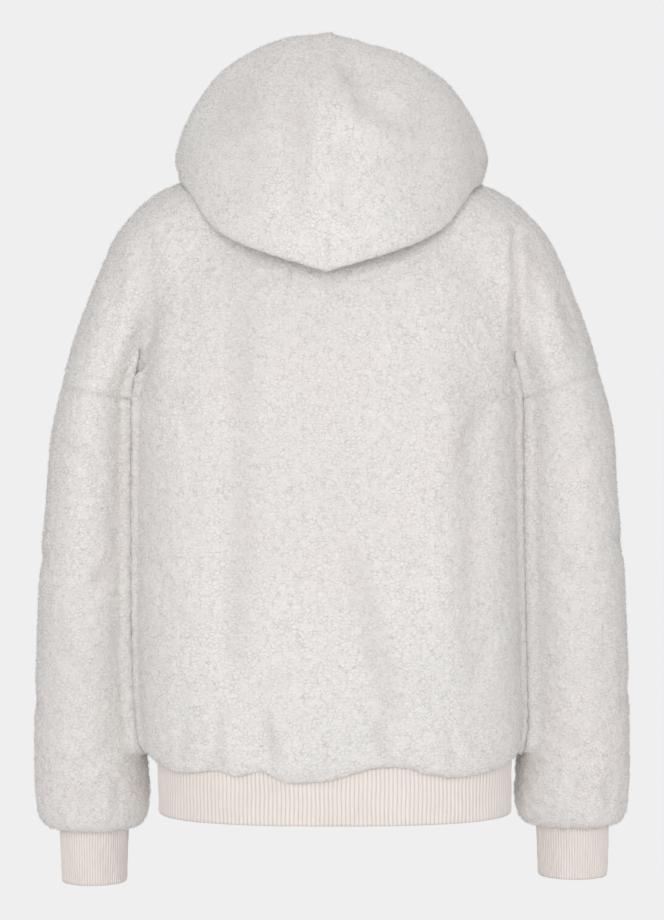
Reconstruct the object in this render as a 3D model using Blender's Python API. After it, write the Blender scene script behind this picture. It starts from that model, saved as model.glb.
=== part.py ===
# Zip-up hoodie in deep-pile fleece, filled out as it is when worn, with its hood down.
# Metres, +Z up. The front faces -Y and the wearer's left side is +X.
# The origin is the middle of the neck, level with the tops of the shoulders that hold the garment up.

import math
from collections import namedtuple

import bpy
import numpy as np

# Cloth
FLEECE = 0.006          # wall of the fleece, backing and pile together
RIB_WALL = 0.0030       # wall of the ribbed knit in its grooves
RIB_PITCH = 0.0035      # from one rib to the next
RIB_HEIGHT = 0.0009     # how far a rib stands out of its grooves
SEAM_GAP = 0.0003       # between two pieces that are sewn together

# Body
NECK_WIDTH = 0.088      # half width of the neck seam
NECK_BACK = 0.066       # from the neck's axis to the seam at the back
NECK_FRONT = 0.080      # and at the front
NECK_AXIS_Y = -0.008
NECK_DROP_BACK = 0.010  # how far the seam dips below the shoulder tops at the back
NECK_DROP_FRONT = 0.085
YOKE_Z = -0.080         # below this height the body is worked out as level sections
UNDERARM_Z = -0.262
UNDERARM_Y = -0.012
FRONT_DIP = 0.045       # the sections dip by this much at the front, below the neck drop
ZIP_OPENING = 0.0075    # half the width between the two front edges
SHOULDER_SLOPE = math.radians(24)
NECK_SLOPE = math.radians(32)   # extra slope of the cloth at the middle of the back and front

# Grid of the body and sleeves
TORSO_COLUMNS = 13      # from the centre back or front to the side seam
ARM_COLUMNS = 8         # from the fold beside the arm to the shoulder seam
YOKE_ROWS = 3
CHEST_ROWS = 7
WAIST_ROWS = 9

# Hem and cuffs
HEM_TOP_Z = -0.633
HEM_BOTTOM_Z = -0.697
HEM_WIDTH = 0.1890      # half sizes of the hem's outer line, over its ribs
HEM_BACK = 0.1185
HEM_FRONT = 0.1145
HEM_SQUARE = 2.5
HEM_SHIFT = -0.003      # its middle lies this far to the wearer's left of the neck's
CUFF_OVERLAP = 0.010    # how far a cuff runs up inside the end of its sleeve
CUFF_Y = -0.045
UNDERARM_CLEAR = 0.0012  # how far the sleeve's lowest point of the armhole stands off the body

# One row for each height of the body: half width, how far the back and the front stand from the
# middle, how square the section's corners are (2 is an ellipse), and how much further the cloth
# reaches on the wearer's left than on the right, halved.
Torso = namedtuple("Torso", "z width back front square shift")
TORSO = (
    Torso(-0.080, 0.188, 0.098, 0.094, 2.30, 0.005),
    Torso(-0.120, 0.196, 0.116, 0.107, 2.50, 0.005),
    Torso(-0.180, 0.200, 0.128, 0.116, 2.75, 0.005),
    Torso(-0.262, 0.202, 0.133, 0.121, 2.85, 0.005),
    Torso(-0.360, 0.202, 0.131, 0.124, 2.80, 0.005),
    Torso(-0.460, 0.203, 0.129, 0.126, 2.75, 0.004),
    Torso(-0.560, 0.203, 0.130, 0.128, 2.65, 0.002),
    Torso(-0.612, 0.202, 0.132, 0.129, 2.60, 0.000),
)

# The fleece hangs over the ribbed hem in a soft roll: height of the roll, and the share of the
# way from the rib's surface out to the full body.
Roll = namedtuple("Roll", "z fullness")
ROLL = (
    Roll(-0.612, 1.00),
    Roll(-0.630, 0.90),
    Roll(-0.642, 0.58),
    Roll(-0.6455, 0.30),
    Roll(-0.6425, 0.03),
)

# Along the back, from the wearer's right to the left: how far the lower edge of the fleece hangs
# below its plain height. Over the front the same waves run the other way.
Wave = namedtuple("Wave", "x drop")
WAVE_TOP_Z = -0.560
WAVES = (
    Wave(-0.205, -0.012),
    Wave(-0.172, -0.002),
    Wave(-0.133, 0.004),
    Wave(-0.094, -0.002),
    Wave(-0.061, -0.010),
    Wave(-0.020, -0.002),
    Wave(0.010, 0.006),
    Wave(0.045, 0.007),
    Wave(0.073, -0.004),
    Wave(0.092, 0.002),
    Wave(0.115, -0.004),
    Wave(0.155, 0.001),
    Wave(0.205, -0.012),
)

# One row for each height of the arm, from the shoulder to the wrist: its outer side, how far it
# runs into the body (under 0 it stands clear of it), its half depth and its middle.
Arm = namedtuple("Arm", "z outer overlap depth middle_y blend")
ARM = (
    Arm(-0.080, 0.2250, 0.1000, 0.078, -0.006, 0.060),
    Arm(-0.110, 0.2430, 0.0780, 0.080, -0.007, 0.045),
    Arm(-0.150, 0.2600, 0.0530, 0.083, -0.009, 0.028),
    Arm(-0.200, 0.2780, 0.0280, 0.086, -0.011, 0.012),
    Arm(-0.262, 0.2930, 0.0000, 0.086, -0.012, 0.001),
    Arm(-0.310, 0.3010, -0.0020, 0.083, -0.014, 0.001),
    Arm(-0.380, 0.3080, -0.0020, 0.080, -0.018, 0.001),
    Arm(-0.470, 0.3160, -0.0020, 0.076, -0.024, 0.001),
    Arm(-0.580, 0.3205, -0.0020, 0.071, -0.033, 0.001),
    Arm(-0.650, 0.3225, 0.0010, 0.066, -0.039, 0.001),
    Arm(-0.690, 0.3215, 0.0030, 0.061, -0.043, 0.001),
)

# The end of a sleeve rolls in over its cuff: height above the sleeve's lowest point, and the
# share of the way from the cuff's surface out to the full sleeve.
SleeveEnd = namedtuple("SleeveEnd", "lift fullness")
SLEEVE_END = (
    SleeveEnd(0.0300, 1.00),
    SleeveEnd(0.0140, 0.90),
    SleeveEnd(0.0035, 0.62),
    SleeveEnd(0.0000, 0.34),
    SleeveEnd(0.0030, 0.03),
)

# What differs between the two sides of the worn garment.
Side = namedtuple(
    "Side",
    "name sign armhole_lift seam_turn sleeve_end cuff_bottom cuff_x cuff_width cuff_taper",
)
SIDES = (
    Side("left", 1, 0.018, 0.10, -0.721, -0.781, 0.2588, 0.0376, 0.0025),
    Side("right", -1, 0.036, 0.62, -0.717, -0.774, 0.2620, 0.0398, 0.0025),
)

# Soft folds of the back and the fronts. x is positive on the wearer's left. Depth is how far a
# fold sinks in, and a negative one stands out. Lean is how far x moves for each metre down.
Fold = namedtuple("Fold", "face x z length width depth lean")
BACK, FRONT = 1, -1
FOLDS = (
    Fold(BACK, 0.098, -0.400, 0.230, 0.026, 0.0045, -0.06),
    Fold(BACK, 0.165, -0.330, 0.200, 0.018, -0.0030, -0.03),
    Fold(BACK, -0.147, -0.330, 0.200, 0.020, 0.0040, 0.02),
    Fold(BACK, -0.020, -0.560, 0.120, 0.034, -0.0040, -0.45),
    Fold(BACK, -0.050, -0.603, 0.034, 0.017, 0.0075, -0.50),
    Fold(BACK, 0.122, -0.635, 0.026, 0.010, 0.0050, 0.10),
    Fold(BACK, 0.072, -0.625, 0.034, 0.010, 0.0065, -0.60),
    Fold(BACK, 0.030, -0.628, 0.030, 0.020, -0.0030, 0.00),
    Fold(BACK, -0.120, -0.620, 0.036, 0.026, -0.0035, 0.00),
    Fold(FRONT, 0.000, -0.640, 0.060, 0.034, 0.0060, 0.00),
    Fold(FRONT, 0.105, -0.420, 0.210, 0.026, 0.0045, 0.05),
    Fold(FRONT, -0.112, -0.380, 0.220, 0.024, 0.0040, -0.05),
    Fold(FRONT, 0.060, -0.620, 0.034, 0.013, 0.0055, 0.30),
    Fold(FRONT, 0.142, -0.625, 0.030, 0.012, 0.0055, -0.20),
    Fold(FRONT, -0.078, -0.622, 0.034, 0.013, 0.0060, -0.35),
    Fold(FRONT, -0.150, -0.626, 0.030, 0.012, 0.0050, 0.25),
)

# The hood, down and standing open. One row for each direction round the neck, from the centre
# back (0) to the zip (172 degrees). Each pair is the distance from the neck's axis and the
# height of one point of the cloth, from the free edge over the top, down the outside and back
# under to the neck seam.
Hood = namedtuple(
    "Hood",
    "angle edge_r edge_z crest_r crest_z upper_r upper_z bulge_r bulge_z fold_r fold_z under_r under_z",
)
HOOD = (
    Hood(0, 0.030, 0.109, 0.064, 0.124, 0.134, 0.072, 0.173, -0.040, 0.157, -0.140, 0.128, -0.082),
    Hood(30, 0.050, 0.104, 0.083, 0.117, 0.143, 0.066, 0.174, -0.030, 0.159, -0.107, 0.130, -0.062),
    Hood(60, 0.088, 0.077, 0.118, 0.090, 0.152, 0.055, 0.170, -0.014, 0.160, -0.057, 0.132, -0.034),
    Hood(90, 0.116, 0.038, 0.133, 0.047, 0.1525, 0.024, 0.1645, -0.008, 0.155, -0.023, 0.130, -0.012),
    Hood(120, 0.112, 0.002, 0.124, 0.010, 0.138, -0.003, 0.144, -0.025, 0.137, -0.042, 0.114, -0.027),
    Hood(150, 0.100, -0.036, 0.107, -0.029, 0.114, -0.039, 0.117, -0.053, 0.112, -0.068, 0.098, -0.064),
    Hood(172, 0.092, -0.052, 0.095, -0.049, 0.098, -0.056, 0.099, -0.066, 0.097, -0.077, 0.090, -0.081),
)
HOOD_COLUMNS = 18
HOOD_END = 172.0        # direction of the hood's front edge, beside the zip
HOOD_ROWS = 18
HOOD_LIFT = 0.0006      # the hood's edge lies this far above the body's neck edge
HOOD_REST = 0.0030      # and the rest of it at least this far above the shoulders
HOOD_REACH = 0.0060     # also above the shoulders' height this far to each side
HOOD_RIGHT_LOWER = 0.075  # the hood stands lower on the wearer's right, by this share
HOOD_SEAM_LEAN = 0.0006  # the centre seam opens by this much towards the hood's inside
HOOD_SHIFT = 0.008      # the hood's point sits this far to the wearer's left

# Folds of the hood: direction round the neck and place between free edge (0) and seam (1).
HoodFold = namedtuple("HoodFold", "side angle place length width depth lean")
HOOD_FOLDS = (
    HoodFold(1, 13, 0.34, 0.20, 5.5, 0.0040, 0),
    HoodFold(-1, 14, 0.24, 0.13, 5.5, 0.0070, 55),
    HoodFold(-1, 38, 0.22, 0.10, 9.0, -0.0030, 0),
    HoodFold(1, 46, 0.40, 0.16, 9.0, 0.0030, 0),
    HoodFold(-1, 60, 0.45, 0.14, 9.0, 0.0030, 0),
)

# Zip
TAPE_INNER = 0.0034     # from the middle of the zip to the tape's edge
TAPE_OUTER = 0.0190
TAPE_THICKNESS = 0.0008
CHAIN_WIDTH = 0.0030    # half width of the closed teeth
CHAIN_THICKNESS = 0.0026
ZIP_TOP_Z = -0.090
SLIDER_Z = -0.1035      # where the pull hangs from the slider
TAPE_CLEAR = 0.0009     # between the tape and the cloth in front of it
CHAIN_REACH = 0.0015    # the teeth end this far above the slider's middle
POST_CLEAR = 0.0014     # between the end of the teeth and the slider's post
PLATE_CLEAR = 0.0005    # between the teeth and each plate of the slider
BRIDGE_CLEAR = 0.00035  # between the pull and the bridge
SLIDER_WIDTH = 0.0095
SLIDER_LENGTH = 0.0130
PLATE = 0.0012          # thickness of the slider's two plates
BRIDGE_WIDTH = 0.0022
BRIDGE_HALF_LENGTH = 0.0037
BRIDGE_BAR = 0.0012
PIVOT_HEIGHT = 0.0016   # from the slider's front plate to the pull's axis
PULL_WIDTH = 0.0080
PULL_LENGTH = 0.0270
PULL_THICKNESS = 0.0015
PULL_WINDOW_WIDTH = 0.0034
PULL_WINDOW_LENGTH = 0.0046
PULL_LEAN = math.radians(5)     # the pull lies this far out from the teeth at rest
BOX_WIDTH = 0.0060
BOX_HEIGHT = 0.0080
BOX_THICKNESS = 0.0036

# Colours, linear, with roughness and metallic value
Finish = namedtuple("Finish", "colour roughness metallic")
FLEECE_FINISH = Finish((0.72, 0.67, 0.65), 0.95, 0.0)
RIB_FINISH = Finish((0.70, 0.65, 0.60), 0.90, 0.0)
TAPE_FINISH = Finish((0.72, 0.67, 0.62), 0.85, 0.0)
METAL_FINISH = Finish((0.62, 0.61, 0.60), 0.30, 1.0)


def read(table, place):
    """Every column of a table at the given places, on smooth curves through its rows."""
    rows = np.array(sorted(table), float)
    key, values = rows[:, 0], rows[:, 1:]
    steps = np.diff(key)[:, None]
    rise = np.diff(values, axis=0) / steps
    slope = np.zeros_like(values)
    same_way = rise[1:] * rise[:-1] > 0
    total = np.where(same_way, rise[1:] + rise[:-1], 1.0)
    slope[1:-1] = np.where(same_way, 2 * rise[1:] * rise[:-1] / total, 0.0)
    slope[0], slope[-1] = rise[0], rise[-1]
    place = np.clip(np.asarray(place, float), key[0], key[-1])
    at = np.clip(np.searchsorted(key, place) - 1, 0, len(key) - 2)
    width = steps[at, 0][..., None]
    share = (place - key[at])[..., None] / width
    found = (
        values[at] * (1 + 2 * share) * (1 - share) ** 2
        + slope[at] * width * share * (1 - share) ** 2
        + values[at + 1] * share**2 * (3 - 2 * share)
        - slope[at + 1] * width * share**2 * (1 - share)
    )
    return type(table[0])(place, *np.moveaxis(found, -1, 0))


def unit(vectors):
    return vectors / np.maximum(np.linalg.norm(vectors, axis=-1, keepdims=True), 1e-12)


def ease(share):
    """A smooth step from 0 to 1."""
    share = np.clip(share, 0, 1)
    return share * share * (3 - 2 * share)


def beyond(x, y, middle_x, middle_y, half_x, half_y, power):
    """How far a point is outside an oval, along the line from the oval's middle."""
    across, along = x - middle_x, y - middle_y
    far = np.hypot(across, along)
    ratio = (np.abs(across / half_x) ** power + np.abs(along / half_y) ** power) ** (1 / power)
    return far - far / np.maximum(ratio, 1e-9)


def torso_size(z, side):
    """The body's section at a height, its half width being the one of this side."""
    size = read(TORSO, z)
    return size._replace(width=size.width + side.sign * size.shift)


def torso_beyond(x, y, z, side):
    size = torso_size(z, side)
    depth = np.where(y > 0, size.back, size.front)
    return beyond(x, y, 0, 0, size.width, depth, size.square)


def arm_oval(z, side):
    """Middle and half sizes of the arm's section."""
    arm = read(ARM, z)
    inner = torso_size(z, side).width - arm.overlap
    return (arm.outer + inner) / 2, arm.middle_y, (arm.outer - inner) / 2, arm.depth


def arm_beyond(x, y, z, side):
    return beyond(x, y, *arm_oval(z, side), 2.0)


def cloth_beyond(x, y, z, side):
    """How far a point is outside the cloth of body and arm together, which blend softly."""
    body, arm = torso_beyond(x, y, z, side), arm_beyond(x, y, z, side)
    soft = read(ARM, z).blend
    share = np.clip(0.5 + 0.5 * (arm - body) / soft, 0, 1)
    return arm * (1 - share) + body * share - soft * share * (1 - share)


def out_to_cloth(start, towards, height, test, side, longest=0.35):
    """The points where lines from start meet the cloth. height gives a point's z from its x."""
    low, high = np.zeros(start.shape[:-1]), np.zeros(start.shape[:-1]) + longest
    for _ in range(36):
        middle = (low + high) / 2
        at = start + towards * middle[..., None]
        outside = test(at[..., 0], at[..., 1], height(at[..., 0]), side) > 0
        low, high = np.where(outside, low, middle), np.where(outside, middle, high)
    at = start + towards * high[..., None]
    return np.stack([at[..., 0], at[..., 1], height(at[..., 0])], axis=-1)


def out_to_blend(start, towards, height, test, side, soft):
    """The points where lines meet the blended cloth, near where they leave the body or arm."""
    hard = out_to_cloth(start, towards, height, test, side)
    reach = np.linalg.norm(hard[..., :2] - start, axis=-1) + soft
    return out_to_cloth(start, towards, height, cloth_beyond, side, reach)


def fold_turn(z, side, face):
    """How far round the body, as an angle of its oval, the fold beside the arm lies."""
    size = torso_size(z, side)
    depth = size.back if face == BACK else -size.front
    low, high = 0.0, math.pi / 2 + 0.2
    for _ in range(40):
        turn = (low + high) / 2
        point = out_to_cloth(
            np.zeros(2),
            unit(np.array([size.width * math.sin(turn), depth * math.cos(turn)])),
            lambda x: np.full_like(x, z),
            torso_beyond,
            side,
        )
        if arm_beyond(point[0], point[1], z, side) > 0:
            low = turn
        else:
            high = turn
    return high


def section_row(z, side, share_down):
    """One row of the chest: from the centre back round body and arm to the zip."""
    size = torso_size(z, side)
    arm_x, arm_y, arm_half, arm_depth = arm_oval(z, side)
    lift = side.armhole_lift * share_down / (float(read(ARM, UNDERARM_Z).outer) - size.width)
    underarm = abs(z - UNDERARM_Z) < 1e-6
    soft = float(read(ARM, z).blend)
    reach = out_to_cloth if underarm else out_to_blend
    limit = () if underarm else (soft,)
    ends, stretches = {}, {}
    for face, depth in ((BACK, size.back), (FRONT, -size.front)):
        turn = (
            math.atan2(1.0, UNDERARM_Y / depth) if underarm else fold_turn(z, side, face)
        )
        first = 0.0 if face == BACK else ZIP_OPENING / size.width
        turns = np.linspace(first, turn, TORSO_COLUMNS + 1)
        towards = unit(np.stack([size.width * np.sin(turns), depth * np.cos(turns)], -1))
        dip = FRONT_DIP * (1 - share_down) if face == FRONT else 0.0
        drop = dip * np.cos(turns / turn * math.pi / 2) ** 2
        body = reach(
            np.zeros((len(turns), 2)), towards, lambda x, d=drop: z - d, torso_beyond, side, *limit
        )
        hard = out_to_cloth(
            np.zeros(2), towards[-1], lambda x: np.full_like(x, z), torso_beyond, side
        )
        if not underarm:
            outward = unit(unit(hard[:2]) + unit(hard[:2] - [arm_x, arm_y]))
            body[-1] = out_to_cloth(
                hard[:2], outward, lambda x: np.full_like(x, z), cloth_beyond, side, 0.05
            )
        ends[face] = body[-1]
        stretches[face] = body
    first, last = (
        math.atan2((ends[face][1] - arm_y) / arm_depth, (ends[face][0] - arm_x) / arm_half)
        for face in (BACK, FRONT)
    )
    if underarm:
        first, last = math.pi, -math.pi
    seam = side.seam_turn
    turns = np.concatenate(
        [
            np.linspace(first, seam, ARM_COLUMNS + 1),
            np.linspace(seam, last, ARM_COLUMNS + 1)[1:],
        ]
    )
    towards = unit(np.stack([arm_half * np.cos(turns), arm_depth * np.sin(turns)], -1))
    arm = reach(
        np.tile([arm_x, arm_y], (len(turns), 1)),
        towards,
        lambda x: z + lift * np.maximum(x - size.width, 0),
        arm_beyond,
        side,
        *limit,
    )
    arm[0], arm[-1] = ends[BACK], ends[FRONT]
    return np.concatenate([stretches[BACK], arm[1:-1], stretches[FRONT][::-1]])


def neck_point(turn):
    """A point of the neck seam, turn going from 0 at the centre back to pi at the front."""
    turn = np.asarray(turn, float)
    behind = np.cos(turn) > 0
    reach = np.where(behind, NECK_BACK, NECK_FRONT)
    drop = np.where(behind, NECK_DROP_BACK, NECK_DROP_FRONT)
    return np.stack(
        [
            NECK_WIDTH * np.sin(turn),
            NECK_AXIS_Y + reach * np.cos(turn),
            -drop * np.cos(turn) ** 2,
        ],
        axis=-1,
    )


def yoke_rows(first_row, second_row):
    """The rows between the neck seam and the first level section, curved like shoulders."""
    seam = TORSO_COLUMNS + ARM_COLUMNS
    along = np.concatenate([[0], np.cumsum(np.linalg.norm(np.diff(first_row, axis=0), axis=1))])
    last = math.pi - math.asin(ZIP_OPENING / NECK_WIDTH)
    turn = np.where(
        np.arange(len(along)) <= seam,
        math.pi / 2 * along / along[seam],
        math.pi / 2 + (last - math.pi / 2) * (along - along[seam]) / (along[-1] - along[seam]),
    )
    neck = neck_point(turn)
    length = np.linalg.norm(first_row - neck, axis=1, keepdims=True)
    slope = SHOULDER_SLOPE + NECK_SLOPE * np.cos(turn) ** 2
    outward = np.stack(
        [
            np.sin(turn) * np.cos(slope),
            np.cos(turn) * np.cos(slope),
            -np.sin(slope),
        ],
        axis=-1,
    )
    downward = unit(second_row - first_row)
    rows = []
    for share in np.linspace(0, 1, YOKE_ROWS + 1)[:-1]:
        rows.append(
            neck * (1 + 2 * share) * (1 - share) ** 2
            + outward * length * share * (1 - share) ** 2
            + first_row * share**2 * (3 - 2 * share)
            - downward * length * share**2 * (1 - share)
        )
    return rows


def hem_beyond(x, y, z, side):
    depth = np.where(y > 0, HEM_BACK, HEM_FRONT) + SEAM_GAP
    return beyond(x, y, side.sign * HEM_SHIFT, 0, HEM_WIDTH + SEAM_GAP, depth, HEM_SQUARE)


def waist_row(z, side, fullness=1.0):
    """One level row of the body below the arms, from the centre back to the zip."""
    size = torso_size(z, side)
    points = []
    for face, depth in ((BACK, size.back), (FRONT, -size.front)):
        turn = math.atan2(1.0, UNDERARM_Y / depth)
        first = 0.0 if face == BACK else ZIP_OPENING / size.width
        turns = np.linspace(first, turn, TORSO_COLUMNS + 1)
        towards = unit(np.stack([size.width * np.sin(turns), depth * np.cos(turns)], -1))
        start = np.zeros((len(turns), 2))
        full, hem = (
            out_to_cloth(start, towards, lambda x: np.full_like(x, z), test, side)
            for test in (torso_beyond, hem_beyond)
        )
        points.append(hem + (full - hem) * fullness)
    return np.concatenate([points[0], points[1][::-1][1:]])


def hem_wave(points, side, face):
    """How far down the lower edge of the fleece hangs at each point, in uneven waves."""
    x = points[..., 0] * side.sign * face
    drop = read(WAVES, x).drop * ease((WAVE_TOP_Z - points[..., 2]) / (WAVE_TOP_Z - ROLL[0].z))
    return np.stack([0 * drop, 0 * drop, -drop], axis=-1)


def outward_normals(grid, closed=False):
    """Unit normals of a grid of points, rows going down and columns round from back to front."""
    if closed:
        grid = np.concatenate([grid[:, -2:-1], grid, grid[:, 1:2]], axis=1)
    down, across = np.gradient(grid, axis=0), np.gradient(grid, axis=1)
    normals = unit(np.cross(across, down))
    return normals[:, 1:-1] if closed else normals


def section_normals(points, side):
    """Unit normals of the cloth of body and arm, from the slope of the level sections."""
    step = 0.0005
    slope = []
    for axis in np.eye(3) * step:
        ahead, behind = points + axis, points - axis
        slope.append(cloth_beyond(*np.moveaxis(ahead, -1, 0), side)
                     - cloth_beyond(*np.moveaxis(behind, -1, 0), side))
    return unit(np.stack(slope, axis=-1))


def sink_folds(points, normals, side, face, calm=1.0):
    """Moves points in or out along their normals, where the folds lie."""
    x = points[..., 0] * side.sign
    facing = np.clip(normals[..., 1] * face * 2, 0, 1)
    sunk = np.zeros(points.shape[:-1])
    for fold in FOLDS:
        if fold.face != face:
            continue
        down = (fold.z - points[..., 2]) / fold.length
        aside = (x - fold.x - fold.lean * (fold.z - points[..., 2])) / fold.width
        sunk += fold.depth * np.exp(-(down**2) - aside**2)
    return points - normals * (sunk * facing * calm)[..., None]


def body_grids(side):
    """Outer and inner points of the chest, waist and sleeve grids of one side, at x over 0."""
    heights = YOKE_Z + (UNDERARM_Z - YOKE_Z) * np.sin(
        np.linspace(0, math.pi / 2, CHEST_ROWS + 1)
    ) ** 0.92
    rows = [
        section_row(z, side, (z - YOKE_Z) / (UNDERARM_Z - YOKE_Z)) for z in heights
    ]
    rows = yoke_rows(rows[0], rows[1]) + rows
    chest = np.array(rows)
    hem = ROLL[0].z
    waist = [waist_row(z, side) for z in np.linspace(UNDERARM_Z, hem, WAIST_ROWS + 1)]
    waist += [waist_row(hem, side, roll.fullness) + [0, 0, roll.z - hem] for roll in ROLL[1:]]
    waist = np.array(waist)
    middle = TORSO_COLUMNS
    waist[0, : middle + 1] = chest[-1, : middle + 1]
    waist[0, middle + 1 :] = chest[-1, -middle:]
    sleeve = sleeve_grid(side, chest[-1, middle:-middle])
    return chest, waist, sleeve


def sleeve_grid(side, armhole):
    """Rings of the sleeve from the armhole down, each from the inner side round the back."""
    end = side.sleeve_end + SLEEVE_END[0].lift
    heights = np.concatenate(
        [
            np.linspace(UNDERARM_Z, end, 10)[1:],
            [side.sleeve_end + step.lift for step in SLEEVE_END[1:]],
        ]
    )
    fullness = np.concatenate([np.ones(9), [step.fullness for step in SLEEVE_END[1:]]])
    turns = np.concatenate(
        [
            np.linspace(math.pi, side.seam_turn, ARM_COLUMNS + 1),
            np.linspace(side.seam_turn, -math.pi, ARM_COLUMNS + 1)[1:],
        ]
    )
    rings = [armhole]
    for z, full in zip(heights, fullness):
        x, y, half, depth = (float(v) for v in arm_oval(max(z, ARM[-1].z), side))
        cuff = cuff_oval(side, z)
        x, y, half, depth = (
            c + (s - c) * full for s, c in zip((x, y, half, depth), cuff)
        )
        lift = side.armhole_lift * (1 - ease((UNDERARM_Z - z) / 0.11))
        ring_x = x + half * np.cos(turns)
        raised = lift * np.maximum((np.cos(turns) + 1) / 2, 0)
        rings.append(np.stack([ring_x, y + depth * np.sin(turns), z + raised], axis=-1))
    return np.array(rings)


def cuff_oval(side, z):
    """Middle and half sizes of a cuff's outer surface, ribs and a small gap included."""
    down = np.clip((side.sleeve_end - z) / (side.sleeve_end - side.cuff_bottom), 0, 1)
    half = side.cuff_width - side.cuff_taper * down
    return side.cuff_x, CUFF_Y, half + SEAM_GAP, half * 0.98 + SEAM_GAP


def place(points, side):
    """Points worked out at x over 0, on their own side of the garment."""
    return points * np.array([side.sign, 1, 1])


def solid(name, outer, inner, quads, flip, finish, smooth=True):
    """One closed wall between outer and inner points, from the quads of its outer face."""
    count = len(outer)
    edges = {}
    for quad in quads:
        for a, b in zip(quad, quad[1:] + quad[:1]):
            edges[(a, b)] = True
    faces = [list(q) for q in quads] + [[i + count for i in reversed(q)] for q in quads]
    for a, b in edges:
        if (b, a) in edges:
            continue
        if a < b:
            faces += [[b, a, b + count], [a, a + count, b + count]]
        else:
            faces += [[b, a, a + count], [b, a + count, b + count]]
    if flip:
        faces = [f[::-1] for f in faces]
    return add_object(name, np.concatenate([outer, inner]), faces, finish, smooth)


def add_object(name, points, faces, finish, smooth=True):
    mesh = bpy.data.meshes.new(name)
    used = sorted({i for face in faces for i in face})
    new = {old: i for i, old in enumerate(used)}
    mesh.from_pydata(
        [tuple(points[i]) for i in used], [], [[new[i] for i in face] for face in faces]
    )
    mesh.validate()
    mesh.update()
    if smooth:
        mesh.shade_smooth()
        mesh.set_sharp_from_angle(angle=math.radians(50))
    return link(name, mesh, finish)


def link(name, mesh, finish):
    piece = bpy.data.objects.new(name, mesh)
    bpy.context.scene.collection.objects.link(piece)
    mesh.materials.clear()
    mesh.materials.append(material(name, finish))
    return piece


def material(name, finish):
    made = bpy.data.materials.new(name)
    made.use_nodes = True
    shader = made.node_tree.nodes["Principled BSDF"]
    shader.inputs["Base Color"].default_value = (*finish.colour, 1)
    shader.inputs["Roughness"].default_value = finish.roughness
    shader.inputs["Metallic"].default_value = finish.metallic
    return made


def grid_quads(rows, columns, offset=0):
    """Quads of a grid of points stored row by row, facing out when columns go back to front."""
    return [
        [
            offset + r * columns + c,
            offset + r * columns + c + 1,
            offset + (r + 1) * columns + c + 1,
            offset + (r + 1) * columns + c,
        ]
        for r in range(rows - 1)
        for c in range(columns - 1)
    ]


def pull_edge(points, edge, beside, gap=SEAM_GAP / 2):
    """Moves the points of one edge back from the seam, towards the points beside them."""
    return points[edge] + unit(points[beside] - points[edge]) * gap


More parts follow.
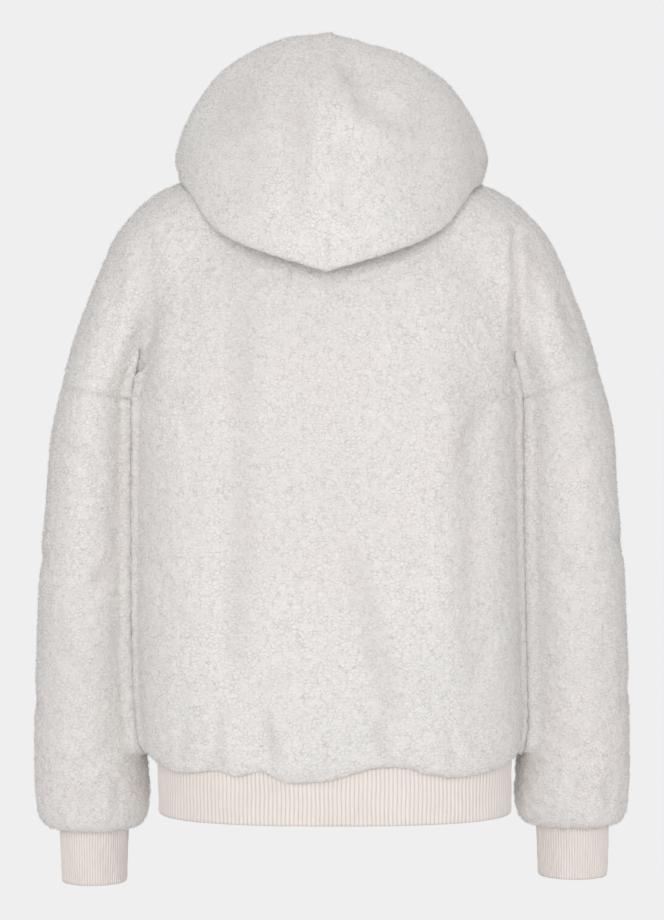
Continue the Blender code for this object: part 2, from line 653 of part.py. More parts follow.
class Body:
    """The cloth of one side: points, normals and inner points of its three grids."""

    def __init__(self, side):
        self.side = side
        self.chest, self.waist, self.sleeve = body_grids(side)
        middle = TORSO_COLUMNS
        chest_n = outward_normals(self.chest)
        waist_n = outward_normals(self.waist)
        sleeve_n = outward_normals(self.sleeve, closed=True)
        sections = slice(YOKE_ROWS + 1, None)
        chest_n[sections] = section_normals(self.chest[sections], side)
        chest_n[:, 0] = unit(chest_n[:, 0] * [0, 1, 1])
        waist_n[:, 0] = unit(waist_n[:, 0] * [0, 1, 1])
        torso_columns = [*range(middle + 1), *range(chest_n.shape[1] - middle, chest_n.shape[1])]
        waist_n[0] = chest_n[-1, torso_columns]
        sleeve_n[0, 1:-1] = chest_n[-1, middle + 1 : -middle - 1]
        for column in (middle, -middle - 1):
            chest_n[-1, column] = (0, 0, -1)
        waist_n[0, middle] = (0, 0, -1)
        sleeve_n[0, [0, -1]] = (-1, 0, 0)
        half = middle + ARM_COLUMNS
        calm = np.ones((len(self.waist) - 1, 1))
        calm[1 - len(ROLL) :, 0] = [roll.fullness for roll in ROLL[1:]]
        for face, columns in ((BACK, slice(0, half + 1)), (FRONT, slice(half, None))):
            self.chest[:, columns] = sink_folds(
                self.chest[:, columns], chest_n[:, columns], side, face
            )
        for face, columns in ((BACK, slice(0, middle + 1)), (FRONT, slice(middle, None))):
            self.waist[1:, columns] = sink_folds(
                self.waist[1:, columns], waist_n[1:, columns], side, face, calm
            )
        for face, columns in ((BACK, slice(0, middle + 1)), (FRONT, slice(middle + 1, None))):
            self.waist[:, columns] += hem_wave(self.waist[:, columns], side, face)
        self.chest_in = self.chest - chest_n * FLEECE
        self.waist_in = self.waist - waist_n * FLEECE
        self.sleeve_in = self.sleeve - sleeve_n * FLEECE

    def panel(self, face):
        """Outer points, inner points and quads of this side's half of the back, or its front."""
        middle, half = TORSO_COLUMNS, TORSO_COLUMNS + ARM_COLUMNS
        if face == BACK:
            upper, lower = slice(0, half + 1), slice(0, middle + 1)
            seam, beside, side_seam, side_beside = half, half - 1, middle, middle - 1
            arm = slice(middle, half + 1)
        else:
            upper, lower = slice(half, None), slice(middle, None)
            seam, beside, side_seam, side_beside = 0, 1, 0, 1
            arm = slice(0, ARM_COLUMNS + 1)
        parts = []
        for chest, waist in ((self.chest, self.waist), (self.chest_in, self.waist_in)):
            top, bottom = chest[:, upper].copy(), waist[:, lower].copy()
            top[:, seam] = pull_edge(top, (slice(None), seam), (slice(None), beside))
            top[-1, arm] = pull_edge(top, (-1, arm), (-2, arm))
            bottom[1:, side_seam] = pull_edge(
                bottom[1:], (slice(None), side_seam), (slice(None), side_beside)
            )
            underarm = middle if face == BACK else ARM_COLUMNS
            top[-1, underarm] = chest[-1, middle] + [0, face * SEAM_GAP / 2, 0]
            parts.append((top, bottom))
        rows, columns = parts[0][0].shape[:2]
        low_rows, low_columns = parts[0][1].shape[:2]
        quads = grid_quads(rows, columns)
        offset = rows * columns
        low = grid_quads(low_rows, low_columns, offset)
        first = 0 if face == BACK else ARM_COLUMNS
        same = {
            offset + c: (rows - 1) * columns + first + c for c in range(low_columns)
        }
        quads += [[same.get(i, i) for i in quad] for quad in low]
        outer, inner = (
            np.concatenate([top.reshape(-1, 3), bottom.reshape(-1, 3)]) for top, bottom in parts
        )
        return place(outer, self.side), place(inner, self.side), quads

    def sleeve_wall(self):
        """The sleeve as a tube, its first and last columns being one."""
        walls = []
        for rings in (self.sleeve, self.sleeve_in):
            rings = rings.copy()
            rings[0] = rings[0] + unit(rings[1] - rings[0]) * SEAM_GAP / 2
            rings[0, 0] = rings[0, 0] + [UNDERARM_CLEAR, 0, -SEAM_GAP]
            walls.append(place(rings[:, :-1].reshape(-1, 3), self.side))
        rows, columns = self.sleeve.shape[0], self.sleeve.shape[1] - 1
        quads = [
            [
                r * columns + c,
                r * columns + (c + 1) % columns,
                (r + 1) * columns + (c + 1) % columns,
                (r + 1) * columns + c,
            ]
            for r in range(rows - 1)
            for c in range(columns)
        ]
        return walls[0], walls[1], quads


def make_back(left, right):
    """The back is one panel: both halves, which share the points of the centre line."""
    outer_l, inner_l, quads_l = left.panel(BACK)
    outer_r, inner_r, quads_r = right.panel(BACK)
    count = len(outer_l)
    quads_r = [[i + count for i in reversed(quad)] for quad in quads_r]
    outer = np.concatenate([outer_l, outer_r])
    inner = np.concatenate([inner_l, inner_r])
    upper_columns = TORSO_COLUMNS + ARM_COLUMNS + 1
    rows = YOKE_ROWS + CHEST_ROWS + 1
    low_rows = len(left.waist)
    centre = [r * upper_columns for r in range(rows)]
    centre += [rows * upper_columns + r * (TORSO_COLUMNS + 1) for r in range(low_rows)]
    same = {count + i: i for i in centre}
    for i in centre:
        inner[i] = (inner[i] + inner[count + i]) / 2
        outer[i] = (outer[i] + outer[count + i]) / 2
    quads_r = [[same.get(i, i) for i in quad] for quad in quads_r]
    return solid("back", outer, inner, quads_l + quads_r, False, FLEECE_FINISH)


def make_front(body):
    outer, inner, quads = body.panel(FRONT)
    return solid(
        f"front_{body.side.name}", outer, inner, quads, body.side.sign < 0, FLEECE_FINISH
    )


def make_sleeve(body):
    outer, inner, quads = body.sleeve_wall()
    return solid(
        f"sleeve_{body.side.name}", outer, inner, quads, body.side.sign < 0, FLEECE_FINISH
    )


def smooth_through(points, count):
    """A smooth curve through a few points, read at evenly spaced places along it."""
    points = np.asarray(points)
    along = np.concatenate([[0], np.cumsum(np.linalg.norm(np.diff(points, axis=0), axis=1))])
    slope = np.gradient(points, along, axis=0, edge_order=1)
    fine = np.linspace(0, along[-1], 400)
    at = np.clip(np.searchsorted(along, fine) - 1, 0, len(along) - 2)
    width = (along[at + 1] - along[at])[:, None]
    share = (fine - along[at])[:, None] / width
    curve = (
        points[at] * (1 + 2 * share) * (1 - share) ** 2
        + slope[at] * width * share * (1 - share) ** 2
        + points[at + 1] * share**2 * (3 - 2 * share)
        - slope[at + 1] * width * share**2 * (1 - share)
    )
    length = np.concatenate([[0], np.cumsum(np.linalg.norm(np.diff(curve, axis=0), axis=1))])
    places = np.linspace(0, length[-1], count)
    return np.stack([np.interp(places, length, curve[:, k]) for k in range(2)], axis=-1)


def hood_profile(angle, count):
    """Distance from the neck's axis and height of the hood's cloth in one direction."""
    row = read(HOOD, angle)
    seam = neck_point(math.radians(float(angle)))
    seam_r = math.hypot(seam[0], seam[1] - NECK_AXIS_Y)
    points = [
        (row.edge_r, row.edge_z),
        (row.crest_r, row.crest_z),
        (row.upper_r, row.upper_z),
        (row.bulge_r, row.bulge_z),
        (row.fold_r, row.fold_z),
        (row.under_r, row.under_z),
        (seam_r, seam[2] + HOOD_LIFT),
    ]
    return smooth_through([(float(r), float(z)) for r, z in points], count)


def hood_grid(columns, rows):
    """Outer points of half the hood, at x over 0: columns from the centre seam to the zip."""
    angles = HOOD_END * np.linspace(0, 1, columns) ** 1.1
    grid = np.zeros((rows, columns, 3))
    for c, angle in enumerate(angles):
        profile = hood_profile(angle, rows)
        seam = neck_point(math.radians(angle))
        seam_turn = math.atan2(seam[0], seam[1] - NECK_AXIS_Y)
        turn = np.linspace(math.radians(angle), seam_turn, rows)
        grid[:, c, 0] = profile[:, 0] * np.sin(turn)
        grid[:, c, 1] = NECK_AXIS_Y + profile[:, 0] * np.cos(turn)
        grid[:, c, 2] = profile[:, 1]
    return grid, angles


def height_of(points, grid):
    """Height of a grid's cloth over or under each point, or far below where it has none."""
    rows, columns = grid.shape[:2]
    quads = np.array(grid_quads(rows, columns))
    corners = grid.reshape(-1, 3)
    triangles = corners[np.concatenate([quads[:, [0, 1, 2]], quads[:, [0, 2, 3]]])]
    a, b, c = (triangles[:, k][None] for k in range(3))
    at = points.reshape(-1, 1, 3)

    def turn(p, q, r):
        return (q[..., 0] - p[..., 0]) * (r[..., 1] - p[..., 1]) - (q[..., 1] - p[..., 1]) * (
            r[..., 0] - p[..., 0]
        )

    whole = turn(a, b, c)
    whole = np.where(np.abs(whole) < 1e-12, 1e-12, whole)
    in_a, in_b, in_c = turn(at, b, c) / whole, turn(a, at, c) / whole, turn(a, b, at) / whole
    inside = np.minimum(np.minimum(in_a, in_b), in_c) > -1e-6
    height = in_a * a[..., 2] + in_b * b[..., 2] + in_c * c[..., 2]
    return np.where(inside, height, -9.0).max(axis=1).reshape(points.shape[:-1])


def make_hood(body):
    side = body.side
    grid, angles = hood_grid(HOOD_COLUMNS + 1, HOOD_ROWS + 1)
    down = np.linspace(0, 1, len(grid))[:, None]
    aside = np.cos(np.radians(np.clip(angles, 0, 90))) ** 2
    grid[..., 0] += side.sign * HOOD_SHIFT * np.sin(down * math.pi) ** 2 * aside
    if side.sign < 0:
        sunk = HOOD_RIGHT_LOWER * ease(angles / 30) * ease((120 - angles) / 40)
        grid[..., 2] -= np.maximum(grid[..., 2], 0) * sunk
    resting = HOOD_REST + np.max(
        [
            height_of(grid + np.array([x, y, 0]) * HOOD_REACH, body.chest)
            for x, y in ((0, 0), (1, 0), (-1, 0), (0, 1), (0, -1))
        ],
        axis=0,
    )
    grid[:-1, :, 2] = np.maximum(grid[:-1, :, 2], resting[:-1])
    normals = outward_normals(grid)
    normals[:, 0] = unit(normals[:, 0] * [0, 1, 1])
    normals[-1] = (0, 0, -1)
    sunk = np.zeros(grid.shape[:-1])
    for fold in HOOD_FOLDS:
        if fold.side == side.sign:
            along = (down - fold.place) / fold.length
            aside = (angles - fold.angle - fold.lean * (down - fold.place)) / fold.width
            sunk += fold.depth * np.exp(-(along**2) - aside**2)
    grid = grid - normals * sunk[..., None]
    inner = grid - normals * FLEECE
    grid[:, 0, 0] += SEAM_GAP / 2
    inner[:, 0, 0] += SEAM_GAP / 2 + HOOD_SEAM_LEAN
    walls = [place(points, side).reshape(-1, 3) for points in (grid, inner)]
    quads = grid_quads(*grid.shape[:2])
    return solid(f"hood_{side.name}", walls[0], walls[1], quads, side.sign < 0, FLEECE_FINISH)


def ribbed_band(outline, bottom, top, ribs, closed):
    """A knitted band whose ribs run up it. outline(share, z) gives the wall's outer line."""
    count = 2 * ribs if closed else 2 * ribs + 1
    heights = (top, bottom)
    share = np.arange(count) / (2 * ribs)
    inner_step = 8
    inner_count = len(range(0, count, inner_step)) if closed else 2 * ribs // inner_step + 1
    inner_share = (
        np.arange(inner_count) / inner_count if closed else np.linspace(0, 1, inner_count)
    )
    raised = np.where(np.arange(count) % 2 == 0, 0.0, RIB_HEIGHT)
    outer = [outline(share, z, raised) for z in heights]
    inner = [outline(inner_share, z, np.full(inner_count, -RIB_WALL)) for z in heights]
    points = np.concatenate(outer + inner)
    faces = []
    around = count if closed else count - 1
    for c in range(around):
        d = (c + 1) % count
        faces.append([c, count + c, count + d, d])
    base = 2 * count
    inner_around = inner_count if closed else inner_count - 1
    for c in range(inner_around):
        d = (c + 1) % inner_count
        faces.append([base + d, base + inner_count + d, base + inner_count + c, base + c])
    faces += rim(share, inner_share, 0, base, closed, False)
    faces += rim(share, inner_share, count, base + inner_count, closed, True)
    if not closed:
        faces.append([0, base, base + inner_count, count])
        faces.append([2 * count - 1, base + 2 * inner_count - 1, base + inner_count - 1, count - 1])
    return points, faces


def rim(outer_share, inner_share, outer_first, inner_first, closed, reverse):
    """Triangles that join an outer line of many points to an inner line of fewer."""
    outer_count, inner_count = len(outer_share), len(inner_share)
    faces, i, j = [], 0, 0
    outer_end = outer_count if closed else outer_count - 1
    inner_end = inner_count if closed else inner_count - 1
    while i < outer_end or j < inner_end:
        next_outer = outer_share[i + 1] if i + 1 < outer_count else 1.0 + 1e-9
        next_inner = inner_share[j + 1] if j + 1 < inner_count else 1.0 + 2e-9
        a, b = outer_first + i % outer_count, inner_first + j % inner_count
        if j >= inner_end or (i < outer_end and next_outer <= next_inner):
            i += 1
            face = [a, outer_first + i % outer_count, b]
        else:
            j += 1
            face = [a, inner_first + j % inner_count, b]
        faces.append(face[::-1] if reverse else face)
    return faces


def along_oval(middle, width, back, front, power, share, raised, opening=0.0):
    """Points along an oval from its front over the left and the back, moved out by raised."""
    fine = np.linspace(0, 2 * math.pi, 4001)
    depth = np.where(np.cos(fine) < 0, back, front)
    x = width * np.sign(np.sin(fine)) * np.abs(np.sin(fine)) ** (2 / power)
    y = -depth * np.sign(np.cos(fine)) * np.abs(np.cos(fine)) ** (2 / power)
    line = np.stack([x, y], axis=-1)
    length = np.concatenate([[0], np.cumsum(np.linalg.norm(np.diff(line, axis=0), axis=1))])
    at = opening + share * (length[-1] - 2 * opening)
    points, ahead, behind = (
        np.stack([np.interp(a % length[-1], length, line[:, k]) for k in range(2)], axis=-1)
        for a in (at, at + 0.0005, at - 0.0005)
    )
    run = unit(ahead - behind)
    outward = np.stack([run[:, 1], -run[:, 0]], axis=-1)
    return np.array(middle) + points + outward * np.asarray(raised)[:, None]


def level(points, z):
    return np.concatenate([points, np.full((len(points), 1), z)], axis=1)


def hem_line(share, z, raised):
    """Points of the ribbed hem, from the left zip edge round the back to the right one."""
    down = (HEM_TOP_Z - z) / (HEM_TOP_Z - HEM_BOTTOM_Z)
    inset = RIB_HEIGHT + 0.001 * down
    points = along_oval(
        (HEM_SHIFT, 0),
        HEM_WIDTH - inset,
        HEM_BACK - inset,
        HEM_FRONT - inset,
        HEM_SQUARE,
        share,
        raised,
        ZIP_OPENING,
    )
    return level(points, z)


def make_hem():
    length = 4 * 1.11 * math.hypot(HEM_WIDTH, (HEM_BACK + HEM_FRONT) / 2) / math.sqrt(2)
    ribs = round(length / RIB_PITCH / 4) * 4
    points, faces = ribbed_band(hem_line, HEM_BOTTOM_Z, HEM_TOP_Z, ribs, False)
    return add_object("hem_rib", points, faces, RIB_FINISH, smooth=False)


def make_cuff(side):
    ribs = round(2 * math.pi * side.cuff_width / RIB_PITCH / 4) * 4

    def cuff_line(share, z, raised):
        x, y, half, depth = cuff_oval(side, z)
        inset = SEAM_GAP + RIB_HEIGHT
        return level(
            along_oval(
                (side.sign * x, y),
                half - inset,
                depth - inset,
                depth - inset,
                2.0,
                share,
                raised,
            ),
            z,
        )

    points, faces = ribbed_band(
        cuff_line, side.cuff_bottom, side.sleeve_end + CUFF_OVERLAP, ribs, True
    )
    return add_object(f"cuff_{side.name}", points, faces, RIB_FINISH, smooth=False)


def zip_patch(body):
    """The front's inner face beside the zip: its edge and the column next to it, going down."""
    full = WAIST_ROWS + 1
    edge = np.concatenate([body.chest_in[:, -1], body.waist_in[1:full, -1]])
    beside = np.concatenate([body.chest_in[:, -2], body.waist_in[1:full, -2]])
    keep = edge[:, 2] < ZIP_TOP_Z - 0.003
    first = int(np.argmax(keep)) - 1
    share = (ZIP_TOP_Z - edge[first, 2]) / (edge[first + 1, 2] - edge[first, 2])
    rows = []
    for line in (edge, beside):
        top = line[first] + (line[first + 1] - line[first]) * share
        rows.append(np.concatenate([top[None], line[first + 1 :]]))
    return rows


def zip_face(body, x):
    """Points just behind the front and the hem, x from the middle of the zip, going down."""
    edge, beside = zip_patch(body)
    share = ((x - edge[:, 0]) / (beside[:, 0] - edge[:, 0]))[:, None]
    points = edge + (beside - edge) * share
    points[:, 1] += TAPE_CLEAR
    inset = RIB_HEIGHT + RIB_WALL
    ratio = (x / (HEM_WIDTH - inset)) ** HEM_SQUARE
    hem_y = -(HEM_FRONT - inset) * (1 - ratio) ** (1 / HEM_SQUARE) + TAPE_CLEAR + 0.001
    low = [[x, hem_y, z] for z in (HEM_TOP_Z + 0.003, HEM_BOTTOM_Z + 0.0005)]
    return np.concatenate([points, low])


def strip(name, faces_front, thickness, finish):
    """A flat strip whose front face is given as columns of points, thickened backwards."""
    front = np.stack(faces_front, axis=1)
    rows, columns = front.shape[:2]
    outer = front.reshape(-1, 3)
    inner = outer + [0, thickness, 0]
    return solid(name, outer, inner, grid_quads(rows, columns), False, finish)


def make_tape(body):
    columns = [
        place(zip_face(body, x), body.side) for x in (TAPE_OUTER, TAPE_INNER)
    ]
    if body.side.sign < 0:
        columns.reverse()
    return strip(f"zip_tape_{body.side.name}", columns, TAPE_THICKNESS, TAPE_FINISH)


def chain_line(left, right):
    """The middle of the closed teeth, going down."""
    middle = (zip_face(left, 0.0) + zip_face(right, 0.0)) / 2
    return middle + [0, TAPE_THICKNESS / 2, 0]


def on_line(line, z):
    """The point of a falling line at a height."""
    return np.array([np.interp(-z, -line[:, 2], line[:, k]) for k in range(3)])


def make_chain(line):
    top = SLIDER_Z + CHAIN_REACH
    kept = line[line[:, 2] < top - 0.003]
    end = HEM_BOTTOM_Z + 0.0005 + BOX_HEIGHT + SEAM_GAP
    kept = kept[kept[:, 2] > end + 0.003]
    middle = np.concatenate([[on_line(line, top)], kept, [on_line(line, end)]])
    middle = middle - [0, CHAIN_THICKNESS / 2, 0]
    columns = [middle + [CHAIN_WIDTH, 0, 0], middle - [CHAIN_WIDTH, 0, 0]]
    return strip("zip_chain", columns, CHAIN_THICKNESS, METAL_FINISH)


def block(name, size, centre, finish):
    """A plain block about a centre in its own coordinates."""
    half = np.array(size) / 2
    corners = np.array([[x, y, z] for x in (-1, 1) for y in (-1, 1) for z in (-1, 1)])
    points = corners * half + centre
    faces = [
        [0, 1, 3, 2],
        [4, 6, 7, 5],
        [0, 4, 5, 1],
        [2, 3, 7, 6],
        [0, 2, 6, 4],
        [1, 5, 7, 3],
    ]
    return add_object(name, points, faces, finish, smooth=False)


def combine(base, others, operation):
    """Joins blocks to a base, or cuts them from it. The blocks share the base's place."""
    for other in others:
        other.location = base.location
        other.rotation_euler = base.rotation_euler
        other.hide_render = True
        modifier = base.modifiers.new(other.name, "BOOLEAN")
        modifier.operation = operation
        modifier.solver = "EXACT"
        modifier.object = other
    return base


def make_slider(line):
    """Two plates round the teeth, a post between them above the teeth, and a bridge in front."""
    above, below = (on_line(line, SLIDER_Z + d) for d in (0.005, -0.005))
    tilt = math.atan2(above[1] - below[1], above[2] - below[2])
    between = CHAIN_THICKNESS + 2 * PLATE_CLEAR
    out = (between + PLATE) / 2
    slider = block(
        "zip_slider", (SLIDER_WIDTH, PLATE, SLIDER_LENGTH), (0, -out, 0), METAL_FINISH
    )
    slider.location = on_line(line, SLIDER_Z)
    slider.rotation_euler = (-tilt, 0, 0)
    post_length = SLIDER_LENGTH / 2 - CHAIN_REACH - POST_CLEAR
    post_z = (SLIDER_LENGTH - post_length) / 2
    front = out + PLATE / 2
    bridge_out = front + PIVOT_HEIGHT + PULL_THICKNESS / 2 + BRIDGE_CLEAR
    foot = bridge_out + BRIDGE_BAR - front + 0.0002
    foot_y = -(front - 0.0002 + foot / 2)
    foot_z = BRIDGE_HALF_LENGTH - BRIDGE_BAR / 2
    bar_y = -(bridge_out + BRIDGE_BAR / 2)
    parts = (
        block("plate", (SLIDER_WIDTH, PLATE, SLIDER_LENGTH), (0, out, 0), METAL_FINISH),
        block("post", (0.0024, between + PLATE, post_length), (0, 0, post_z), METAL_FINISH),
        block("foot", (BRIDGE_WIDTH, foot, BRIDGE_BAR), (0, foot_y, foot_z), METAL_FINISH),
        block("heel", (BRIDGE_WIDTH, foot, BRIDGE_BAR), (0, foot_y, -foot_z), METAL_FINISH),
        block(
            "bar",
            (BRIDGE_WIDTH, BRIDGE_BAR, 2 * BRIDGE_HALF_LENGTH),
            (0, bar_y, 0),
            METAL_FINISH,
        ),
    )
    combine(slider, parts, "UNION")
    make_pull(slider, front + PIVOT_HEIGHT)
    return slider


def make_pull(slider, out):
    """The pull tab hangs from the bridge. Its origin is on its axis, which runs across."""
    top = PULL_THICKNESS / 2
    pull = block(
        "zip_pull",
        (PULL_WIDTH, PULL_THICKNESS, PULL_LENGTH),
        (0, 0, top - PULL_LENGTH / 2),
        METAL_FINISH,
    )
    tilt = slider.rotation_euler[0]
    pull.location = (
        slider.location[0],
        slider.location[1] - out * math.cos(tilt),
        slider.location[2] - out * math.sin(tilt),
    )
    pull.rotation_euler = (tilt - PULL_LEAN, 0, 0)
    window = block(
        "window",
        (PULL_WINDOW_WIDTH, 0.01, PULL_WINDOW_LENGTH),
        (0, 0, -top - PULL_WINDOW_LENGTH / 2),
        METAL_FINISH,
    )
    combine(pull, (window,), "DIFFERENCE")
    return pull


def make_box(line):
    """The box at the foot of the zip, which holds both rows of teeth together."""
    centre_z = HEM_BOTTOM_Z + 0.0005 + BOX_HEIGHT / 2
    box = block("zip_box", (BOX_WIDTH, BOX_THICKNESS, BOX_HEIGHT), (0, 0, 0), METAL_FINISH)
    box.location = on_line(line, centre_z)
    return box


def clear_scene():
    for piece in list(bpy.data.objects):
        bpy.data.objects.remove(piece)


def main():
    clear_scene()
    left, right = (Body(side) for side in SIDES)
    make_back(left, right)
    for body in (left, right):
        make_front(body)
        make_sleeve(body)
        make_hood(body)
        make_cuff(body.side)
        make_tape(body)
    make_hem()
    line = chain_line(left, right)
    make_chain(line)
    make_slider(line)
    make_box(line)


main()
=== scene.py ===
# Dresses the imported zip-up hoodie: deep-pile fleece, ribbed hem and cuffs, and a metal zip, on a
# plain floor in soft light. Metres, +Z up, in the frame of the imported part. The front faces -Y
# and the wearer's left side is +X.

import math
from collections import namedtuple

import bmesh
import bpy
import numpy as np
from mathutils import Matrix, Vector, kdtree, noise
from mathutils.bvhtree import BVHTree


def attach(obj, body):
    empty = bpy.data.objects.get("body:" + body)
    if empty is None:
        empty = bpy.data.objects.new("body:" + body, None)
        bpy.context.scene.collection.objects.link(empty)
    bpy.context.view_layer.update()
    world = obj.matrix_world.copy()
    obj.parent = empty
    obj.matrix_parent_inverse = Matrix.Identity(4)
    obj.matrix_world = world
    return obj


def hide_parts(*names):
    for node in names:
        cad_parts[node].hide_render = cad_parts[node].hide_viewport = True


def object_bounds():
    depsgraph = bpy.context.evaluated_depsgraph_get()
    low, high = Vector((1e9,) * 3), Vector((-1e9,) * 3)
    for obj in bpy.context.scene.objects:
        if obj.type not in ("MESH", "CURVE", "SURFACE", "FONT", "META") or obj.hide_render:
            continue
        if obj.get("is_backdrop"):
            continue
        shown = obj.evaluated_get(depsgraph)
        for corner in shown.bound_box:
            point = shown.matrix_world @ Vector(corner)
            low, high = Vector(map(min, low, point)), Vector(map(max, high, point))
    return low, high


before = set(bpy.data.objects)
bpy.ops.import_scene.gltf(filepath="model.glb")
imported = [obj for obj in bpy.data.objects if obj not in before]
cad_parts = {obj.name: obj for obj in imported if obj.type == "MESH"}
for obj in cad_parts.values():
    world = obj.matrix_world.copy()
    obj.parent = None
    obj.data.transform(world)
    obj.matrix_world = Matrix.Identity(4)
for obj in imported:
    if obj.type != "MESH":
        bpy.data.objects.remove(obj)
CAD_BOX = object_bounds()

bl_info = {
    "name": "Zip-up fleece hoodie",
    "version": (1, 0, 0),
    "blender": (4, 5, 0),
    "location": "3D View > Sidebar > Hoodie",
    "description": "Dresses the solids of a worn zip-up hoodie in fleece, ribbed knit and a zip",
    "category": "Object",
}

BODY = "garment"
PULL_BODY = "pull_tab"

# Cloth
FLEECE = 0.006          # wall of the fleece, backing and pile together
RIB_WALL = 0.0030       # wall of the ribbed knit in its grooves
RIB_PITCH = 0.0031      # from one rib to the next
RIB_HEIGHT = 0.0009     # how far a rib stands out of its grooves
SEAM_GAP = 0.0003       # between two pieces that are sewn together

# Body
NECK_WIDTH = 0.088      # half width of the neck seam
NECK_BACK = 0.066       # from the neck's axis to the seam at the back
NECK_FRONT = 0.080      # and at the front
NECK_AXIS_Y = -0.008
NECK_DROP_BACK = 0.010  # how far the seam dips below the shoulder tops at the back
NECK_DROP_FRONT = 0.085
YOKE_Z = -0.080         # below this height the body is worked out as level sections
UNDERARM_Z = -0.262
UNDERARM_Y = -0.012
FRONT_DIP = 0.045       # the sections dip by this much at the front, below the neck drop
ZIP_OPENING = 0.0075    # half the width between the two front edges
SHOULDER_SLOPE = math.radians(24)
NECK_SLOPE = math.radians(32)   # extra slope of the cloth at the middle of the back and front

# Grid of the body and sleeves
TORSO_COLUMNS = 13      # from the centre back or front to the side seam
ARM_COLUMNS = 8         # from the fold beside the arm to the shoulder seam
YOKE_ROWS = 3
CHEST_ROWS = 7
WAIST_ROWS = 9

# Hem and cuffs
HEM_TOP_Z = -0.633
HEM_BOTTOM_Z = -0.697
HEM_WIDTH = 0.1890      # half sizes of the hem's outer line, over its ribs
HEM_BACK = 0.1185
HEM_FRONT = 0.1145
HEM_SQUARE = 2.5
HEM_SHIFT = -0.003      # its middle lies this far to the wearer's left of the neck's
CUFF_OVERLAP = 0.010    # how far a cuff runs up inside the end of its sleeve
CUFF_Y = -0.045
UNDERARM_CLEAR = 0.0012  # how far the sleeve's lowest point of the armhole stands off the body

# One row for each height of the body: half width, how far the back and the front stand from the
# middle, how square the section's corners are (2 is an ellipse), and how much further the cloth
# reaches on the wearer's left than on the right, halved.
Torso = namedtuple("Torso", "z width back front square shift")
TORSO = (
    Torso(-0.080, 0.188, 0.098, 0.094, 2.30, 0.005),
    Torso(-0.120, 0.196, 0.116, 0.107, 2.50, 0.005),
    Torso(-0.180, 0.200, 0.128, 0.116, 2.75, 0.005),
    Torso(-0.262, 0.202, 0.133, 0.121, 2.85, 0.005),
    Torso(-0.360, 0.202, 0.131, 0.124, 2.80, 0.005),
    Torso(-0.460, 0.203, 0.129, 0.126, 2.75, 0.004),
    Torso(-0.560, 0.203, 0.130, 0.128, 2.65, 0.002),
    Torso(-0.612, 0.202, 0.132, 0.129, 2.60, 0.000),
)

# The fleece hangs over the ribbed hem in a soft roll: height of the roll, and the share of the
# way from the rib's surface out to the full body.
Roll = namedtuple("Roll", "z fullness")
ROLL = (
    Roll(-0.612, 1.00),
    Roll(-0.630, 0.90),
    Roll(-0.642, 0.58),
    Roll(-0.6455, 0.30),
    Roll(-0.6425, 0.03),
)

# Along the back, from the wearer's right to the left: how far the lower edge of the fleece hangs
# below its plain height. Over the front the same waves run the other way.
Wave = namedtuple("Wave", "x drop")
WAVE_TOP_Z = -0.560
WAVES = (
    Wave(-0.205, -0.012),
    Wave(-0.172, -0.002),
    Wave(-0.133, 0.004),
    Wave(-0.094, -0.002),
    Wave(-0.061, -0.010),
    Wave(-0.020, -0.002),
    Wave(0.010, 0.006),
    Wave(0.045, 0.007),
    Wave(0.073, -0.004),
    Wave(0.092, 0.002),
    Wave(0.115, -0.004),
    Wave(0.155, 0.001),
    Wave(0.205, -0.012),
)

# One row for each height of the arm, from the shoulder to the wrist: its outer side, how far it
# runs into the body (under 0 it stands clear of it), its half depth and its middle.
Arm = namedtuple("Arm", "z outer overlap depth middle_y blend")
ARM = (
    Arm(-0.080, 0.2250, 0.1000, 0.078, -0.006, 0.060),
    Arm(-0.110, 0.2430, 0.0780, 0.080, -0.007, 0.045),
    Arm(-0.150, 0.2600, 0.0530, 0.083, -0.009, 0.028),
    Arm(-0.200, 0.2780, 0.0280, 0.086, -0.011, 0.012),
    Arm(-0.262, 0.2930, 0.0000, 0.086, -0.012, 0.001),
    Arm(-0.310, 0.3010, -0.0020, 0.083, -0.014, 0.001),
    Arm(-0.380, 0.3080, -0.0020, 0.080, -0.018, 0.001),
    Arm(-0.470, 0.3160, -0.0020, 0.076, -0.024, 0.001),
    Arm(-0.580, 0.3205, -0.0020, 0.071, -0.033, 0.001),
    Arm(-0.650, 0.3225, 0.0010, 0.066, -0.039, 0.001),
    Arm(-0.690, 0.3215, 0.0030, 0.061, -0.043, 0.001),
)

# The end of a sleeve rolls in over its cuff: height above the sleeve's lowest point, and the
# share of the way from the cuff's surface out to the full sleeve.
SleeveEnd = namedtuple("SleeveEnd", "lift fullness")
SLEEVE_END = (
    SleeveEnd(0.0300, 1.00),
    SleeveEnd(0.0140, 0.90),
    SleeveEnd(0.0035, 0.62),
    SleeveEnd(0.0000, 0.34),
    SleeveEnd(0.0030, 0.03),
)

# What differs between the two sides of the worn garment.
Side = namedtuple(
    "Side",
    "name sign armhole_lift seam_turn sleeve_end cuff_bottom cuff_x cuff_width cuff_taper",
)
SIDES = (
    Side("left", 1, 0.018, 0.10, -0.721, -0.781, 0.2588, 0.0376, 0.0025),
    Side("right", -1, 0.036, 0.62, -0.717, -0.774, 0.2620, 0.0398, 0.0025),
)

